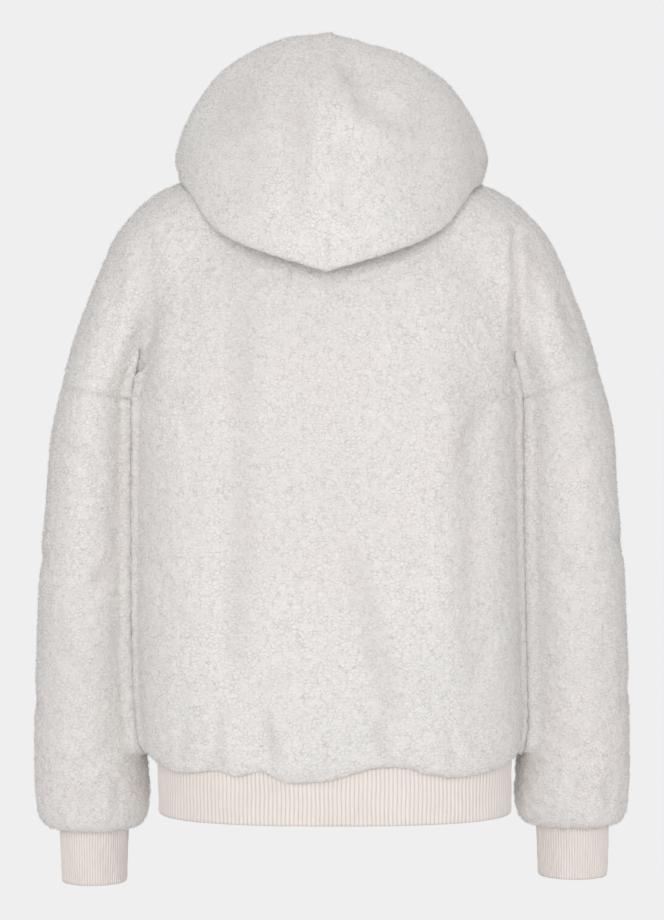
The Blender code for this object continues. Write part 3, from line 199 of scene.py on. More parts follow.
# Soft folds of the back and the fronts. x is positive on the wearer's left. Depth is how far a
# fold sinks in, and a negative one stands out. Lean is how far x moves for each metre down.
Fold = namedtuple("Fold", "face x z length width depth lean")
BACK, FRONT = 1, -1
FOLDS = (
    Fold(BACK, 0.098, -0.400, 0.230, 0.026, 0.0045, -0.06),
    Fold(BACK, 0.165, -0.330, 0.200, 0.018, -0.0030, -0.03),
    Fold(BACK, -0.147, -0.330, 0.200, 0.020, 0.0040, 0.02),
    Fold(BACK, -0.020, -0.560, 0.120, 0.034, -0.0040, -0.45),
    Fold(BACK, -0.050, -0.603, 0.034, 0.017, 0.0075, -0.50),
    Fold(BACK, 0.122, -0.635, 0.026, 0.010, 0.0050, 0.10),
    Fold(BACK, 0.072, -0.625, 0.034, 0.010, 0.0065, -0.60),
    Fold(BACK, 0.030, -0.628, 0.030, 0.020, -0.0030, 0.00),
    Fold(BACK, -0.120, -0.620, 0.036, 0.026, -0.0035, 0.00),
    Fold(FRONT, 0.000, -0.640, 0.060, 0.034, 0.0060, 0.00),
    Fold(FRONT, 0.105, -0.420, 0.210, 0.026, 0.0045, 0.05),
    Fold(FRONT, -0.112, -0.380, 0.220, 0.024, 0.0040, -0.05),
    Fold(FRONT, 0.060, -0.620, 0.034, 0.013, 0.0055, 0.30),
    Fold(FRONT, 0.142, -0.625, 0.030, 0.012, 0.0055, -0.20),
    Fold(FRONT, -0.078, -0.622, 0.034, 0.013, 0.0060, -0.35),
    Fold(FRONT, -0.150, -0.626, 0.030, 0.012, 0.0050, 0.25),
)

# The hood, down and standing open. One row for each direction round the neck, from the centre
# back (0) to the zip (172 degrees). Each pair is the distance from the neck's axis and the
# height of one point of the cloth, from the free edge over the top, down the outside and back
# under to the neck seam.
Hood = namedtuple(
    "Hood",
    "angle edge_r edge_z crest_r crest_z upper_r upper_z bulge_r bulge_z fold_r fold_z under_r under_z",
)
HOOD = (
    Hood(0, 0.030, 0.109, 0.064, 0.124, 0.134, 0.072, 0.173, -0.040, 0.157, -0.140, 0.128, -0.082),
    Hood(30, 0.050, 0.104, 0.083, 0.117, 0.143, 0.066, 0.174, -0.030, 0.159, -0.107, 0.130, -0.062),
    Hood(60, 0.088, 0.077, 0.118, 0.090, 0.152, 0.055, 0.170, -0.014, 0.160, -0.057, 0.132, -0.034),
    Hood(90, 0.116, 0.038, 0.133, 0.047, 0.1525, 0.024, 0.1645, -0.008, 0.155, -0.023, 0.130, -0.012),
    Hood(120, 0.112, 0.002, 0.124, 0.010, 0.138, -0.003, 0.144, -0.025, 0.137, -0.042, 0.114, -0.027),
    Hood(150, 0.100, -0.036, 0.107, -0.029, 0.114, -0.039, 0.117, -0.053, 0.112, -0.068, 0.098, -0.064),
    Hood(172, 0.092, -0.052, 0.095, -0.049, 0.098, -0.056, 0.099, -0.066, 0.097, -0.077, 0.090, -0.081),
)
HOOD_COLUMNS = 18
HOOD_END = 172.0        # direction of the hood's front edge, beside the zip
HOOD_ROWS = 18
HOOD_LIFT = 0.0006      # the hood's edge lies this far above the body's neck edge
HOOD_REST = 0.0030      # and the rest of it at least this far above the shoulders
HOOD_REACH = 0.0060     # also above the shoulders' height this far to each side
HOOD_RIGHT_LOWER = 0.075  # the hood stands lower on the wearer's right, by this share
HOOD_SEAM_LEAN = 0.0006  # the centre seam opens by this much towards the hood's inside
HOOD_SHIFT = 0.008      # the hood's point sits this far to the wearer's left

# Folds of the hood: direction round the neck and place between free edge (0) and seam (1).
HoodFold = namedtuple("HoodFold", "side angle place length width depth lean")
HOOD_FOLDS = (
    HoodFold(1, 13, 0.34, 0.20, 5.5, 0.0040, 0),
    HoodFold(-1, 14, 0.24, 0.13, 5.5, 0.0070, 55),
    HoodFold(-1, 38, 0.22, 0.10, 9.0, -0.0030, 0),
    HoodFold(1, 46, 0.40, 0.16, 9.0, 0.0030, 0),
    HoodFold(-1, 60, 0.45, 0.14, 9.0, 0.0030, 0),
)

# Zip
TAPE_INNER = 0.0034     # from the middle of the zip to the tape's edge
TAPE_OUTER = 0.0190
TAPE_THICKNESS = 0.0008
ZIP_TOP_Z = -0.090
SLIDER_Z = -0.1035      # where the pull hangs from the slider
TAPE_CLEAR = 0.0009     # between the tape and the cloth in front of it
CHAIN_REACH = 0.0015    # the teeth end this far above the slider's middle
BOX_HEIGHT = 0.0080     # of the box that the zip ends in

# Fine surface
CLOTH_STEP = 0.0027     # between neighbouring points outside
INNER_PARTS = 2         # parts that each interval of the solids' grid is cut into inside
CLUMP_SIZE = 0.0080     # from one clump of curls to the next
CURL_SEED = 7           # places the curls, which would start from the clock without it
EDGE_CALM = 0.0080      # how far from a sewn edge the curls start to be lower
SEAM_SHADE = 0.0050     # how far from a sewn edge the pile is in the seam's shade
EDGE_REACH = 0.0008     # how far a sewn edge reaches over the gap that the solids leave
SWELL_GAP = 0.030       # pile starts to fill the gap to the cloth beside it from here
SWELL_PRESS = 0.0009    # and presses this far into it where they meet
SWELL_X = 0.12          # only further out than this, where the sleeves hang
SWELL_TOP_Z = UNDERARM_Z + 0.12
PILE_ROOT = 0.0004      # the loose ends start this far under the pile's surface
PILE_WIDTH = 0.11       # half the width of a loose end, as a share of their length
HOOD_CURLS = 0.6        # the hood's curls are this deep, as a share of the body's
CURL_STRETCH = (1.0, 1.0, 1.4)  # the curls are this much wider than they are tall
WELD = 1e6              # points closer than a millionth of a metre are one
CHEST_END = YOKE_ROWS + CHEST_ROWS
RIB_POINTS = 8          # points across one rib
BAND_ROWS = 20
PILE_MAP = "OFBake"     # the map that the loose ends' finish can be baked to
STITCH_ROWS = 160.0     # scale of the rows of stitches on the ribs
TAPE_COLUMNS = 12
TAPE_STEP = 0.0022
TOOTH_PITCH = 0.0028    # from one tooth to the next on the same tape
TOOTH_REACH = 0.0023
TOOTH_DEPTH = 0.0024
TOOTH_HEIGHT = 0.0011
TOOTH_EDGE = 0.00028
TOOTH_X = 0.00195       # from the middle of the zip to the middle of a tooth
HEAD_REACH = 0.0013     # the head of a tooth, which catches between those of the other tape
HEAD_EDGE = 0.0003
HEAD_X = 0.00045

# Edges of a grid: the points it picks, and whether it runs along rows (0) or columns (1) of places
Edge = namedtuple("Edge", "pick along")
EDGES = {
    "top": Edge((0, slice(None)), 1),
    "bottom": Edge((-1, slice(None)), 1),
    "first": Edge((slice(None), 0), 0),
    "last": Edge((slice(None), -1), 0),
}

# Creases that are too fine for the solids. Seen from the back or front, at is x; seen from the
# left or right, at is y. Depth is how far a crease sinks in and how much shade is painted into
# it, and bow how far it bends aside.
Crease = namedtuple("Crease", "piece view at z to to_z width depth bow")
VIEWS = {
    "back": (0, (0, 1, 0)),
    "front": (0, (0, -1, 0)),
    "left": (1, (1, 0, 0)),
    "right": (1, (-1, 0, 0)),
}
CREASE_ROWS = {
    ("back", "back"): (
        (-0.004, -0.370, -0.069, -0.625, 0.0150, 0.0040, 0.006),
        (0.096, -0.090, 0.103, -0.590, 0.0150, 0.0036, 0.005),
        (-0.149, -0.210, -0.146, -0.580, 0.0140, 0.0034, -0.006),
        (0.176, -0.235, 0.128, -0.330, 0.0080, 0.0018, 0.004),
        (-0.178, -0.245, -0.120, -0.345, 0.0080, 0.0020, -0.005),
        (0.040, -0.200, 0.062, -0.400, 0.0120, 0.0012, -0.004),
        (-0.060, -0.130, -0.088, -0.300, 0.0110, 0.0013, 0.004),
        (0.186, -0.430, 0.142, -0.520, 0.0090, 0.0015, 0.004),
        (-0.186, -0.470, -0.136, -0.575, 0.0090, 0.0016, -0.004),
        (0.115, -0.560, 0.119, -0.640, 0.0060, 0.0028, 0.001),
        (0.072, -0.570, 0.060, -0.638, 0.0060, 0.0030, 0.001),
        (-0.045, -0.585, -0.064, -0.642, 0.0065, 0.0032, -0.001),
        (-0.118, -0.590, -0.126, -0.640, 0.0055, 0.0022, 0.001),
        (0.150, -0.585, 0.158, -0.640, 0.0055, 0.0020, 0.001),
        (0.010, -0.598, 0.004, -0.645, 0.0050, 0.0018, 0.001),
        (0.187, -0.070, 0.203, -0.262, 0.0120, 0.0042, 0.004),
        (-0.191, -0.068, -0.189, -0.222, 0.0050, 0.0050, 0.000),
        (-0.204, -0.075, -0.204, -0.250, 0.0120, 0.0032, 0.000),
        (0.222, -0.110, 0.240, -0.235, 0.0090, 0.0018, 0.004),
        (-0.203, -0.078, -0.266, -0.225, 0.0120, 0.0034, 0.006),
        (-0.205, -0.115, -0.236, -0.215, 0.0090, 0.0022, -0.004),
    ),
    ("front", "front"): (
        (0.176, -0.240, 0.095, -0.330, 0.0090, 0.0022, 0.006),
        (-0.176, -0.240, -0.090, -0.345, 0.0090, 0.0022, -0.006),
        (0.070, -0.150, 0.048, -0.330, 0.0110, 0.0015, 0.004),
        (-0.074, -0.160, -0.052, -0.350, 0.0110, 0.0015, -0.004),
        (0.180, -0.430, 0.100, -0.530, 0.0100, 0.0018, 0.006),
        (-0.182, -0.450, -0.104, -0.540, 0.0100, 0.0020, -0.006),
        (0.060, -0.575, 0.066, -0.640, 0.0060, 0.0028, 0.001),
        (0.142, -0.580, 0.148, -0.640, 0.0055, 0.0026, 0.001),
        (-0.078, -0.575, -0.072, -0.640, 0.0060, 0.0028, 0.001),
        (-0.150, -0.585, -0.154, -0.640, 0.0055, 0.0024, 0.001),
        (0.200, -0.115, 0.230, -0.225, 0.0090, 0.0022, 0.004),
        (-0.200, -0.120, -0.232, -0.215, 0.0090, 0.0022, -0.004),
    ),
    ("sleeve_left", "back"): (
        (0.290, -0.300, 0.232, -0.345, 0.0090, 0.0022, 0.004),
        (0.226, -0.430, 0.288, -0.475, 0.0100, 0.0024, 0.005),
        (0.300, -0.500, 0.244, -0.560, 0.0090, 0.0020, -0.004),
        (0.224, -0.610, 0.286, -0.655, 0.0090, 0.0022, 0.004),
        (0.262, -0.655, 0.270, -0.712, 0.0055, 0.0024, 0.001),
        (0.228, -0.660, 0.232, -0.712, 0.0055, 0.0022, 0.001),
    ),
    ("sleeve_left", "front"): (
        (0.290, -0.320, 0.228, -0.370, 0.0100, 0.0024, 0.004),
        (0.226, -0.440, 0.296, -0.460, 0.0100, 0.0026, 0.005),
        (0.296, -0.530, 0.236, -0.580, 0.0090, 0.0022, -0.004),
        (0.250, -0.650, 0.255, -0.712, 0.0055, 0.0024, 0.001),
    ),
    ("sleeve_left", "left"): (
        (0.040, -0.420, -0.060, -0.455, 0.0100, 0.0020, 0.005),
        (-0.050, -0.560, 0.020, -0.600, 0.0100, 0.0020, 0.005),
        (-0.030, -0.650, -0.034, -0.712, 0.0055, 0.0022, 0.001),
    ),
    ("sleeve_right", "back"): (
        (-0.290, -0.290, -0.232, -0.350, 0.0090, 0.0022, -0.004),
        (-0.226, -0.420, -0.290, -0.455, 0.0100, 0.0024, -0.005),
        (-0.300, -0.520, -0.240, -0.560, 0.0090, 0.0020, 0.004),
        (-0.224, -0.600, -0.290, -0.640, 0.0090, 0.0022, -0.004),
        (-0.258, -0.650, -0.262, -0.708, 0.0055, 0.0024, 0.001),
        (-0.292, -0.655, -0.296, -0.708, 0.0055, 0.0020, 0.001),
    ),
    ("sleeve_right", "front"): (
        (-0.290, -0.310, -0.228, -0.350, 0.0100, 0.0024, -0.004),
        (-0.226, -0.450, -0.296, -0.480, 0.0100, 0.0026, -0.005),
        (-0.296, -0.550, -0.236, -0.590, 0.0090, 0.0022, 0.004),
        (-0.262, -0.650, -0.266, -0.708, 0.0055, 0.0024, 0.001),
    ),
    ("sleeve_right", "right"): (
        (0.040, -0.400, -0.060, -0.440, 0.0100, 0.0020, 0.005),
        (-0.050, -0.545, 0.020, -0.590, 0.0100, 0.0020, 0.005),
        (-0.036, -0.650, -0.030, -0.708, 0.0055, 0.0022, 0.001),
    ),
    ("hood", "back"): (
        (-0.004, 0.094, -0.034, 0.008, 0.0100, 0.0042, 0.006),
        (-0.020, 0.046, -0.075, 0.010, 0.0110, 0.0030, 0.004),
        (0.040, 0.075, 0.036, -0.100, 0.0150, 0.0044, 0.006),
        (0.005, -0.075, 0.004, -0.132, 0.0035, 0.0026, 0.001),
        (-0.020, 0.020, -0.014, -0.100, 0.0110, 0.0030, -0.004),
        (0.098, 0.085, 0.082, -0.085, 0.0340, 0.0042, 0.008),
        (-0.100, 0.070, -0.078, -0.085, 0.0300, 0.0030, -0.008),
        (-0.060, -0.010, -0.030, -0.090, 0.0100, 0.0020, -0.004),
    ),
}
CREASES = [
    Crease(*place, *row) for place, rows in CREASE_ROWS.items() for row in rows
]

# The size each piece of cloth was cut to: its widest and longest line laid flat, and its area
Cut = namedtuple("Cut", "slot width length area held")

# Stage, worked out from the photograph's size in pixels
PHOTO_HEIGHT = 920
FOCAL_PIXELS = 2336
SENSOR = 36.0
CAMERA_PLACE = (0.0, 2.5, -0.323)
GARMENT_MIDDLE_Z = -0.33
FLOOR_RADIUS = 2.8
Light = namedtuple("Light", "name x y z size share")
LIGHTS = (
    Light("beside_camera", 0.22, 3.2, 0.10, 2.0, 1.0),
    Light("from_left", 2.6, 1.6, 0.1, 1.6, 0.13),
    Light("from_right", -2.6, 1.4, 0.1, 1.6, 0.20),
    Light("before_front", 0.3, -3.2, 0.3, 2.0, 0.9),
    Light("from_above", 0.0, 0.2, 2.6, 2.0, 0.11),
)


def read(table, place):
    """Every column of a table at the given places, on smooth curves through its rows."""
    rows = np.array(sorted(table), float)
    key, values = rows[:, 0], rows[:, 1:]
    steps = np.diff(key)[:, None]
    rise = np.diff(values, axis=0) / steps
    slope = np.zeros_like(values)
    same_way = rise[1:] * rise[:-1] > 0
    total = np.where(same_way, rise[1:] + rise[:-1], 1.0)
    slope[1:-1] = np.where(same_way, 2 * rise[1:] * rise[:-1] / total, 0.0)
    slope[0], slope[-1] = rise[0], rise[-1]
    place = np.clip(np.asarray(place, float), key[0], key[-1])
    at = np.clip(np.searchsorted(key, place) - 1, 0, len(key) - 2)
    width = steps[at, 0][..., None]
    share = (place - key[at])[..., None] / width
    found = smooth_between(
        values[at], slope[at] * width, values[at + 1], slope[at + 1] * width, share
    )
    return type(table[0])(place, *np.moveaxis(found, -1, 0))


def smooth_between(start, leaving, end, arriving, share):
    """A smooth curve from start to end with the given slopes, each over the curve's whole run."""
    return (
        start * (1 + 2 * share) * (1 - share) ** 2
        + leaving * share * (1 - share) ** 2
        + end * share**2 * (3 - 2 * share)
        - arriving * share**2 * (1 - share)
    )


def run_along(line):
    """The distance along a line from its first point to each of its points."""
    return np.concatenate([[0], np.cumsum(np.linalg.norm(np.diff(line, axis=0), axis=1))])


def unit(vectors):
    return vectors / np.maximum(np.linalg.norm(vectors, axis=-1, keepdims=True), 1e-12)


def ease(share):
    """A smooth step from 0 to 1."""
    share = np.clip(share, 0, 1)
    return share * share * (3 - 2 * share)


def beyond(x, y, middle_x, middle_y, half_x, half_y, power):
    """How far a point is outside an oval, along the line from the oval's middle."""
    across, along = x - middle_x, y - middle_y
    far = np.hypot(across, along)
    ratio = (np.abs(across / half_x) ** power + np.abs(along / half_y) ** power) ** (1 / power)
    return far - far / np.maximum(ratio, 1e-9)


def torso_size(z, side):
    """The body's section at a height, its half width being the one of this side."""
    size = read(TORSO, z)
    return size._replace(width=size.width + side.sign * size.shift)


def torso_beyond(x, y, z, side):
    size = torso_size(z, side)
    depth = np.where(y > 0, size.back, size.front)
    return beyond(x, y, 0, 0, size.width, depth, size.square)


def arm_oval(z, side):
    """Middle and half sizes of the arm's section."""
    arm = read(ARM, z)
    inner = torso_size(z, side).width - arm.overlap
    return (arm.outer + inner) / 2, arm.middle_y, (arm.outer - inner) / 2, arm.depth


def arm_beyond(x, y, z, side):
    return beyond(x, y, *arm_oval(z, side), 2.0)


def cloth_beyond(x, y, z, side):
    """How far a point is outside the cloth of body and arm together, which blend softly."""
    body, arm = torso_beyond(x, y, z, side), arm_beyond(x, y, z, side)
    soft = read(ARM, z).blend
    share = np.clip(0.5 + 0.5 * (arm - body) / soft, 0, 1)
    return arm * (1 - share) + body * share - soft * share * (1 - share)


def level_at(z):
    """The height of a level section, the same at each x."""
    return lambda x: np.full_like(x, z)


def out_to_cloth(start, towards, height, test, side, longest=0.35):
    """The points where lines from start meet the cloth. height gives a point's z from its x."""
    low, high = np.zeros(start.shape[:-1]), np.zeros(start.shape[:-1]) + longest
    for _ in range(36):
        middle = (low + high) / 2
        at = start + towards * middle[..., None]
        outside = test(at[..., 0], at[..., 1], height(at[..., 0]), side) > 0
        low, high = np.where(outside, low, middle), np.where(outside, middle, high)
    at = start + towards * high[..., None]
    return np.stack([at[..., 0], at[..., 1], height(at[..., 0])], axis=-1)


def out_to_blend(start, towards, height, test, side, soft):
    """The points where lines meet the blended cloth, near where they leave the body or arm."""
    hard = out_to_cloth(start, towards, height, test, side)
    reach = np.linalg.norm(hard[..., :2] - start, axis=-1) + soft
    return out_to_cloth(start, towards, height, cloth_beyond, side, reach)


def fold_turn(z, side, face):
    """How far round the body, as an angle of its oval, the fold beside the arm lies."""
    size = torso_size(z, side)
    depth = size.back if face == BACK else -size.front
    low, high = 0.0, math.pi / 2 + 0.2
    for _ in range(40):
        turn = (low + high) / 2
        point = out_to_cloth(
            np.zeros(2),
            unit(np.array([size.width * math.sin(turn), depth * math.cos(turn)])),
            level_at(z),
            torso_beyond,
            side,
        )
        if arm_beyond(point[0], point[1], z, side) > 0:
            low = turn
        else:
            high = turn
    return high


def section_row(z, side, share_down):
    """One row of the chest: from the centre back round body and arm to the zip."""
    size = torso_size(z, side)
    arm_x, arm_y, arm_half, arm_depth = arm_oval(z, side)
    lift = side.armhole_lift * share_down / (float(read(ARM, UNDERARM_Z).outer) - size.width)
    underarm = abs(z - UNDERARM_Z) < 1e-6
    soft = float(read(ARM, z).blend)
    reach = out_to_cloth if underarm else out_to_blend
    limit = () if underarm else (soft,)
    ends, stretches = {}, {}
    for face, depth in ((BACK, size.back), (FRONT, -size.front)):
        turn = (
            math.atan2(1.0, UNDERARM_Y / depth) if underarm else fold_turn(z, side, face)
        )
        first = 0.0 if face == BACK else ZIP_OPENING / size.width
        turns = np.linspace(first, turn, TORSO_COLUMNS + 1)
        towards = unit(np.stack([size.width * np.sin(turns), depth * np.cos(turns)], -1))
        dip = FRONT_DIP * (1 - share_down) if face == FRONT else 0.0
        drop = dip * np.cos(turns / turn * math.pi / 2) ** 2
        body = reach(
            np.zeros((len(turns), 2)), towards, lambda x, d=drop: z - d, torso_beyond, side, *limit
        )
        hard = out_to_cloth(np.zeros(2), towards[-1], level_at(z), torso_beyond, side)
        if not underarm:
            outward = unit(unit(hard[:2]) + unit(hard[:2] - [arm_x, arm_y]))
            body[-1] = out_to_cloth(hard[:2], outward, level_at(z), cloth_beyond, side, 0.05)
        ends[face] = body[-1]
        stretches[face] = body
    first, last = (
        math.atan2((ends[face][1] - arm_y) / arm_depth, (ends[face][0] - arm_x) / arm_half)
        for face in (BACK, FRONT)
    )
    if underarm:
        first, last = math.pi, -math.pi
    seam = side.seam_turn
    turns = np.concatenate(
        [
            np.linspace(first, seam, ARM_COLUMNS + 1),
            np.linspace(seam, last, ARM_COLUMNS + 1)[1:],
        ]
    )
    towards = unit(np.stack([arm_half * np.cos(turns), arm_depth * np.sin(turns)], -1))
    arm = reach(
        np.tile([arm_x, arm_y], (len(turns), 1)),
        towards,
        lambda x: z + lift * np.maximum(x - size.width, 0),
        arm_beyond,
        side,
        *limit,
    )
    arm[0], arm[-1] = ends[BACK], ends[FRONT]
    return np.concatenate([stretches[BACK], arm[1:-1], stretches[FRONT][::-1]])


def neck_point(turn):
    """A point of the neck seam, turn going from 0 at the centre back to pi at the front."""
    turn = np.asarray(turn, float)
    behind = np.cos(turn) > 0
    reach = np.where(behind, NECK_BACK, NECK_FRONT)
    drop = np.where(behind, NECK_DROP_BACK, NECK_DROP_FRONT)
    return np.stack(
        [
            NECK_WIDTH * np.sin(turn),
            NECK_AXIS_Y + reach * np.cos(turn),
            -drop * np.cos(turn) ** 2,
        ],
        axis=-1,
    )


def yoke_rows(first_row, second_row):
    """The rows between the neck seam and the first level section, curved like shoulders."""
    seam = TORSO_COLUMNS + ARM_COLUMNS
    along = run_along(first_row)
    last = math.pi - math.asin(ZIP_OPENING / NECK_WIDTH)
    turn = np.where(
        np.arange(len(along)) <= seam,
        math.pi / 2 * along / along[seam],
        math.pi / 2 + (last - math.pi / 2) * (along - along[seam]) / (along[-1] - along[seam]),
    )
    neck = neck_point(turn)
    length = np.linalg.norm(first_row - neck, axis=1, keepdims=True)
    slope = SHOULDER_SLOPE + NECK_SLOPE * np.cos(turn) ** 2
    outward = np.stack(
        [
            np.sin(turn) * np.cos(slope),
            np.cos(turn) * np.cos(slope),
            -np.sin(slope),
        ],
        axis=-1,
    )
    downward = unit(second_row - first_row)
    rows = []
    for share in np.linspace(0, 1, YOKE_ROWS + 1)[:-1]:
        rows.append(smooth_between(neck, outward * length, first_row, downward * length, share))
    return rows


def hem_beyond(x, y, z, side):
    depth = np.where(y > 0, HEM_BACK, HEM_FRONT) + SEAM_GAP
    return beyond(x, y, side.sign * HEM_SHIFT, 0, HEM_WIDTH + SEAM_GAP, depth, HEM_SQUARE)


def waist_row(z, side, fullness=1.0):
    """One level row of the body below the arms, from the centre back to the zip."""
    size = torso_size(z, side)
    points = []
    for face, depth in ((BACK, size.back), (FRONT, -size.front)):
        turn = math.atan2(1.0, UNDERARM_Y / depth)
        first = 0.0 if face == BACK else ZIP_OPENING / size.width
        turns = np.linspace(first, turn, TORSO_COLUMNS + 1)
        towards = unit(np.stack([size.width * np.sin(turns), depth * np.cos(turns)], -1))
        start = np.zeros((len(turns), 2))
        full, hem = (
            out_to_cloth(start, towards, level_at(z), test, side)
            for test in (torso_beyond, hem_beyond)
        )
        points.append(hem + (full - hem) * fullness)
    return np.concatenate([points[0], points[1][::-1][1:]])


def hem_wave(points, side, face):
    """How far down the lower edge of the fleece hangs at each point, in uneven waves."""
    x = points[..., 0] * side.sign * face
    drop = read(WAVES, x).drop * ease((WAVE_TOP_Z - points[..., 2]) / (WAVE_TOP_Z - ROLL[0].z))
    return np.stack([0 * drop, 0 * drop, -drop], axis=-1)


def outward_normals(grid, closed=False):
    """Unit normals of a grid of points, rows going down and columns round from back to front."""
    if closed:
        grid = np.concatenate([grid[:, -2:-1], grid, grid[:, 1:2]], axis=1)
    down, across = np.gradient(grid, axis=0), np.gradient(grid, axis=1)
    normals = unit(np.cross(across, down))
    return normals[:, 1:-1] if closed else normals


def section_normals(points, side):
    """Unit normals of the cloth of body and arm, from the slope of the level sections."""
    step = 0.0005
    slope = []
    for axis in np.eye(3) * step:
        ahead, behind = points + axis, points - axis
        slope.append(cloth_beyond(*np.moveaxis(ahead, -1, 0), side)
                     - cloth_beyond(*np.moveaxis(behind, -1, 0), side))
    return unit(np.stack(slope, axis=-1))


def sink_folds(points, normals, side, face, calm=1.0):
    """Moves points in or out along their normals, where the folds lie."""
    x = points[..., 0] * side.sign
    facing = np.clip(normals[..., 1] * face * 2, 0, 1)
    sunk = np.zeros(points.shape[:-1])
    for fold in FOLDS:
        if fold.face != face:
            continue
        down = (fold.z - points[..., 2]) / fold.length
        aside = (x - fold.x - fold.lean * (fold.z - points[..., 2])) / fold.width
        sunk += fold.depth * np.exp(-(down**2) - aside**2)
    return points - normals * (sunk * facing * calm)[..., None]


def body_grids(side):
    """Outer and inner points of the chest, waist and sleeve grids of one side, at x over 0."""
    heights = YOKE_Z + (UNDERARM_Z - YOKE_Z) * np.sin(
        np.linspace(0, math.pi / 2, CHEST_ROWS + 1)
    ) ** 0.92
    rows = [
        section_row(z, side, (z - YOKE_Z) / (UNDERARM_Z - YOKE_Z)) for z in heights
    ]
    rows = yoke_rows(rows[0], rows[1]) + rows
    chest = np.array(rows)
    hem = ROLL[0].z
    waist = [waist_row(z, side) for z in np.linspace(UNDERARM_Z, hem, WAIST_ROWS + 1)]
    waist += [waist_row(hem, side, roll.fullness) + [0, 0, roll.z - hem] for roll in ROLL[1:]]
    waist = np.array(waist)
    middle = TORSO_COLUMNS
    waist[0, : middle + 1] = chest[-1, : middle + 1]
    waist[0, middle + 1 :] = chest[-1, -middle:]
    sleeve = sleeve_grid(side, chest[-1, middle:-middle])
    return chest, waist, sleeve


def sleeve_grid(side, armhole):
    """Rings of the sleeve from the armhole down, each from the inner side round the back."""
    end = side.sleeve_end + SLEEVE_END[0].lift
    heights = np.concatenate(
        [
            np.linspace(UNDERARM_Z, end, 10)[1:],
            [side.sleeve_end + step.lift for step in SLEEVE_END[1:]],
        ]
    )
    fullness = np.concatenate([np.ones(9), [step.fullness for step in SLEEVE_END[1:]]])
    turns = np.concatenate(
        [
            np.linspace(math.pi, side.seam_turn, ARM_COLUMNS + 1),
            np.linspace(side.seam_turn, -math.pi, ARM_COLUMNS + 1)[1:],
        ]
    )
    rings = [armhole]
    for z, full in zip(heights, fullness):
        x, y, half, depth = (float(v) for v in arm_oval(max(z, ARM[-1].z), side))
        cuff = cuff_oval(side, z)
        x, y, half, depth = (
            c + (s - c) * full for s, c in zip((x, y, half, depth), cuff)
        )
        lift = side.armhole_lift * (1 - ease((UNDERARM_Z - z) / 0.11))
        ring_x = x + half * np.cos(turns)
        raised = lift * np.maximum((np.cos(turns) + 1) / 2, 0)
        rings.append(np.stack([ring_x, y + depth * np.sin(turns), z + raised], axis=-1))
    return np.array(rings)


def cuff_oval(side, z):
    """Middle and half sizes of a cuff's outer surface, ribs and a small gap included."""
    down = np.clip((side.sleeve_end - z) / (side.sleeve_end - side.cuff_bottom), 0, 1)
    half = side.cuff_width - side.cuff_taper * down
    return side.cuff_x, CUFF_Y, half + SEAM_GAP, half * 0.98 + SEAM_GAP


def place(points, side):
    """Points worked out at x over 0, on their own side of the garment."""
    return points * np.array([side.sign, 1, 1])


def grid_quads(rows, columns, offset=0):
    """Quads of a grid of points stored row by row, facing out when columns go back to front."""
    return [
        [
            offset + r * columns + c,
            offset + r * columns + c + 1,
            offset + (r + 1) * columns + c + 1,
            offset + (r + 1) * columns + c,
        ]
        for r in range(rows - 1)
        for c in range(columns - 1)
    ]


def pull_edge(points, edge, beside):
    """Moves the points of one edge back from the seam, towards the points beside them."""
    return points[edge] + unit(points[beside] - points[edge]) * (SEAM_GAP / 2)


def smooth_through(points, count):
    """A smooth curve through a few points, read at evenly spaced places along it."""
    points = np.asarray(points)
    along = run_along(points)
    slope = np.gradient(points, along, axis=0, edge_order=1)
    fine = np.linspace(0, along[-1], 400)
    at = np.clip(np.searchsorted(along, fine) - 1, 0, len(along) - 2)
    width = (along[at + 1] - along[at])[:, None]
    share = (fine - along[at])[:, None] / width
    curve = smooth_between(
        points[at], slope[at] * width, points[at + 1], slope[at + 1] * width, share
    )
    length = run_along(curve)
    places = np.linspace(0, length[-1], count)
    return np.stack([np.interp(places, length, curve[:, k]) for k in range(2)], axis=-1)


def hood_profile(angle, count):
    """Distance from the neck's axis and height of the hood's cloth in one direction."""
    row = read(HOOD, angle)
    seam = neck_point(math.radians(float(angle)))
    seam_r = math.hypot(seam[0], seam[1] - NECK_AXIS_Y)
    points = [
        (row.edge_r, row.edge_z),
        (row.crest_r, row.crest_z),
        (row.upper_r, row.upper_z),
        (row.bulge_r, row.bulge_z),
        (row.fold_r, row.fold_z),
        (row.under_r, row.under_z),
        (seam_r, seam[2] + HOOD_LIFT),
    ]
    return smooth_through([(float(r), float(z)) for r, z in points], count)


def hood_grid(columns, rows):
    """Outer points of half the hood, at x over 0: columns from the centre seam to the zip."""
    angles = HOOD_END * np.linspace(0, 1, columns) ** 1.1
    grid = np.zeros((rows, columns, 3))
    for c, angle in enumerate(angles):
        profile = hood_profile(angle, rows)
        seam = neck_point(math.radians(angle))
        seam_turn = math.atan2(seam[0], seam[1] - NECK_AXIS_Y)
        turn = np.linspace(math.radians(angle), seam_turn, rows)
        grid[:, c, 0] = profile[:, 0] * np.sin(turn)
        grid[:, c, 1] = NECK_AXIS_Y + profile[:, 0] * np.cos(turn)
        grid[:, c, 2] = profile[:, 1]
    return grid, angles


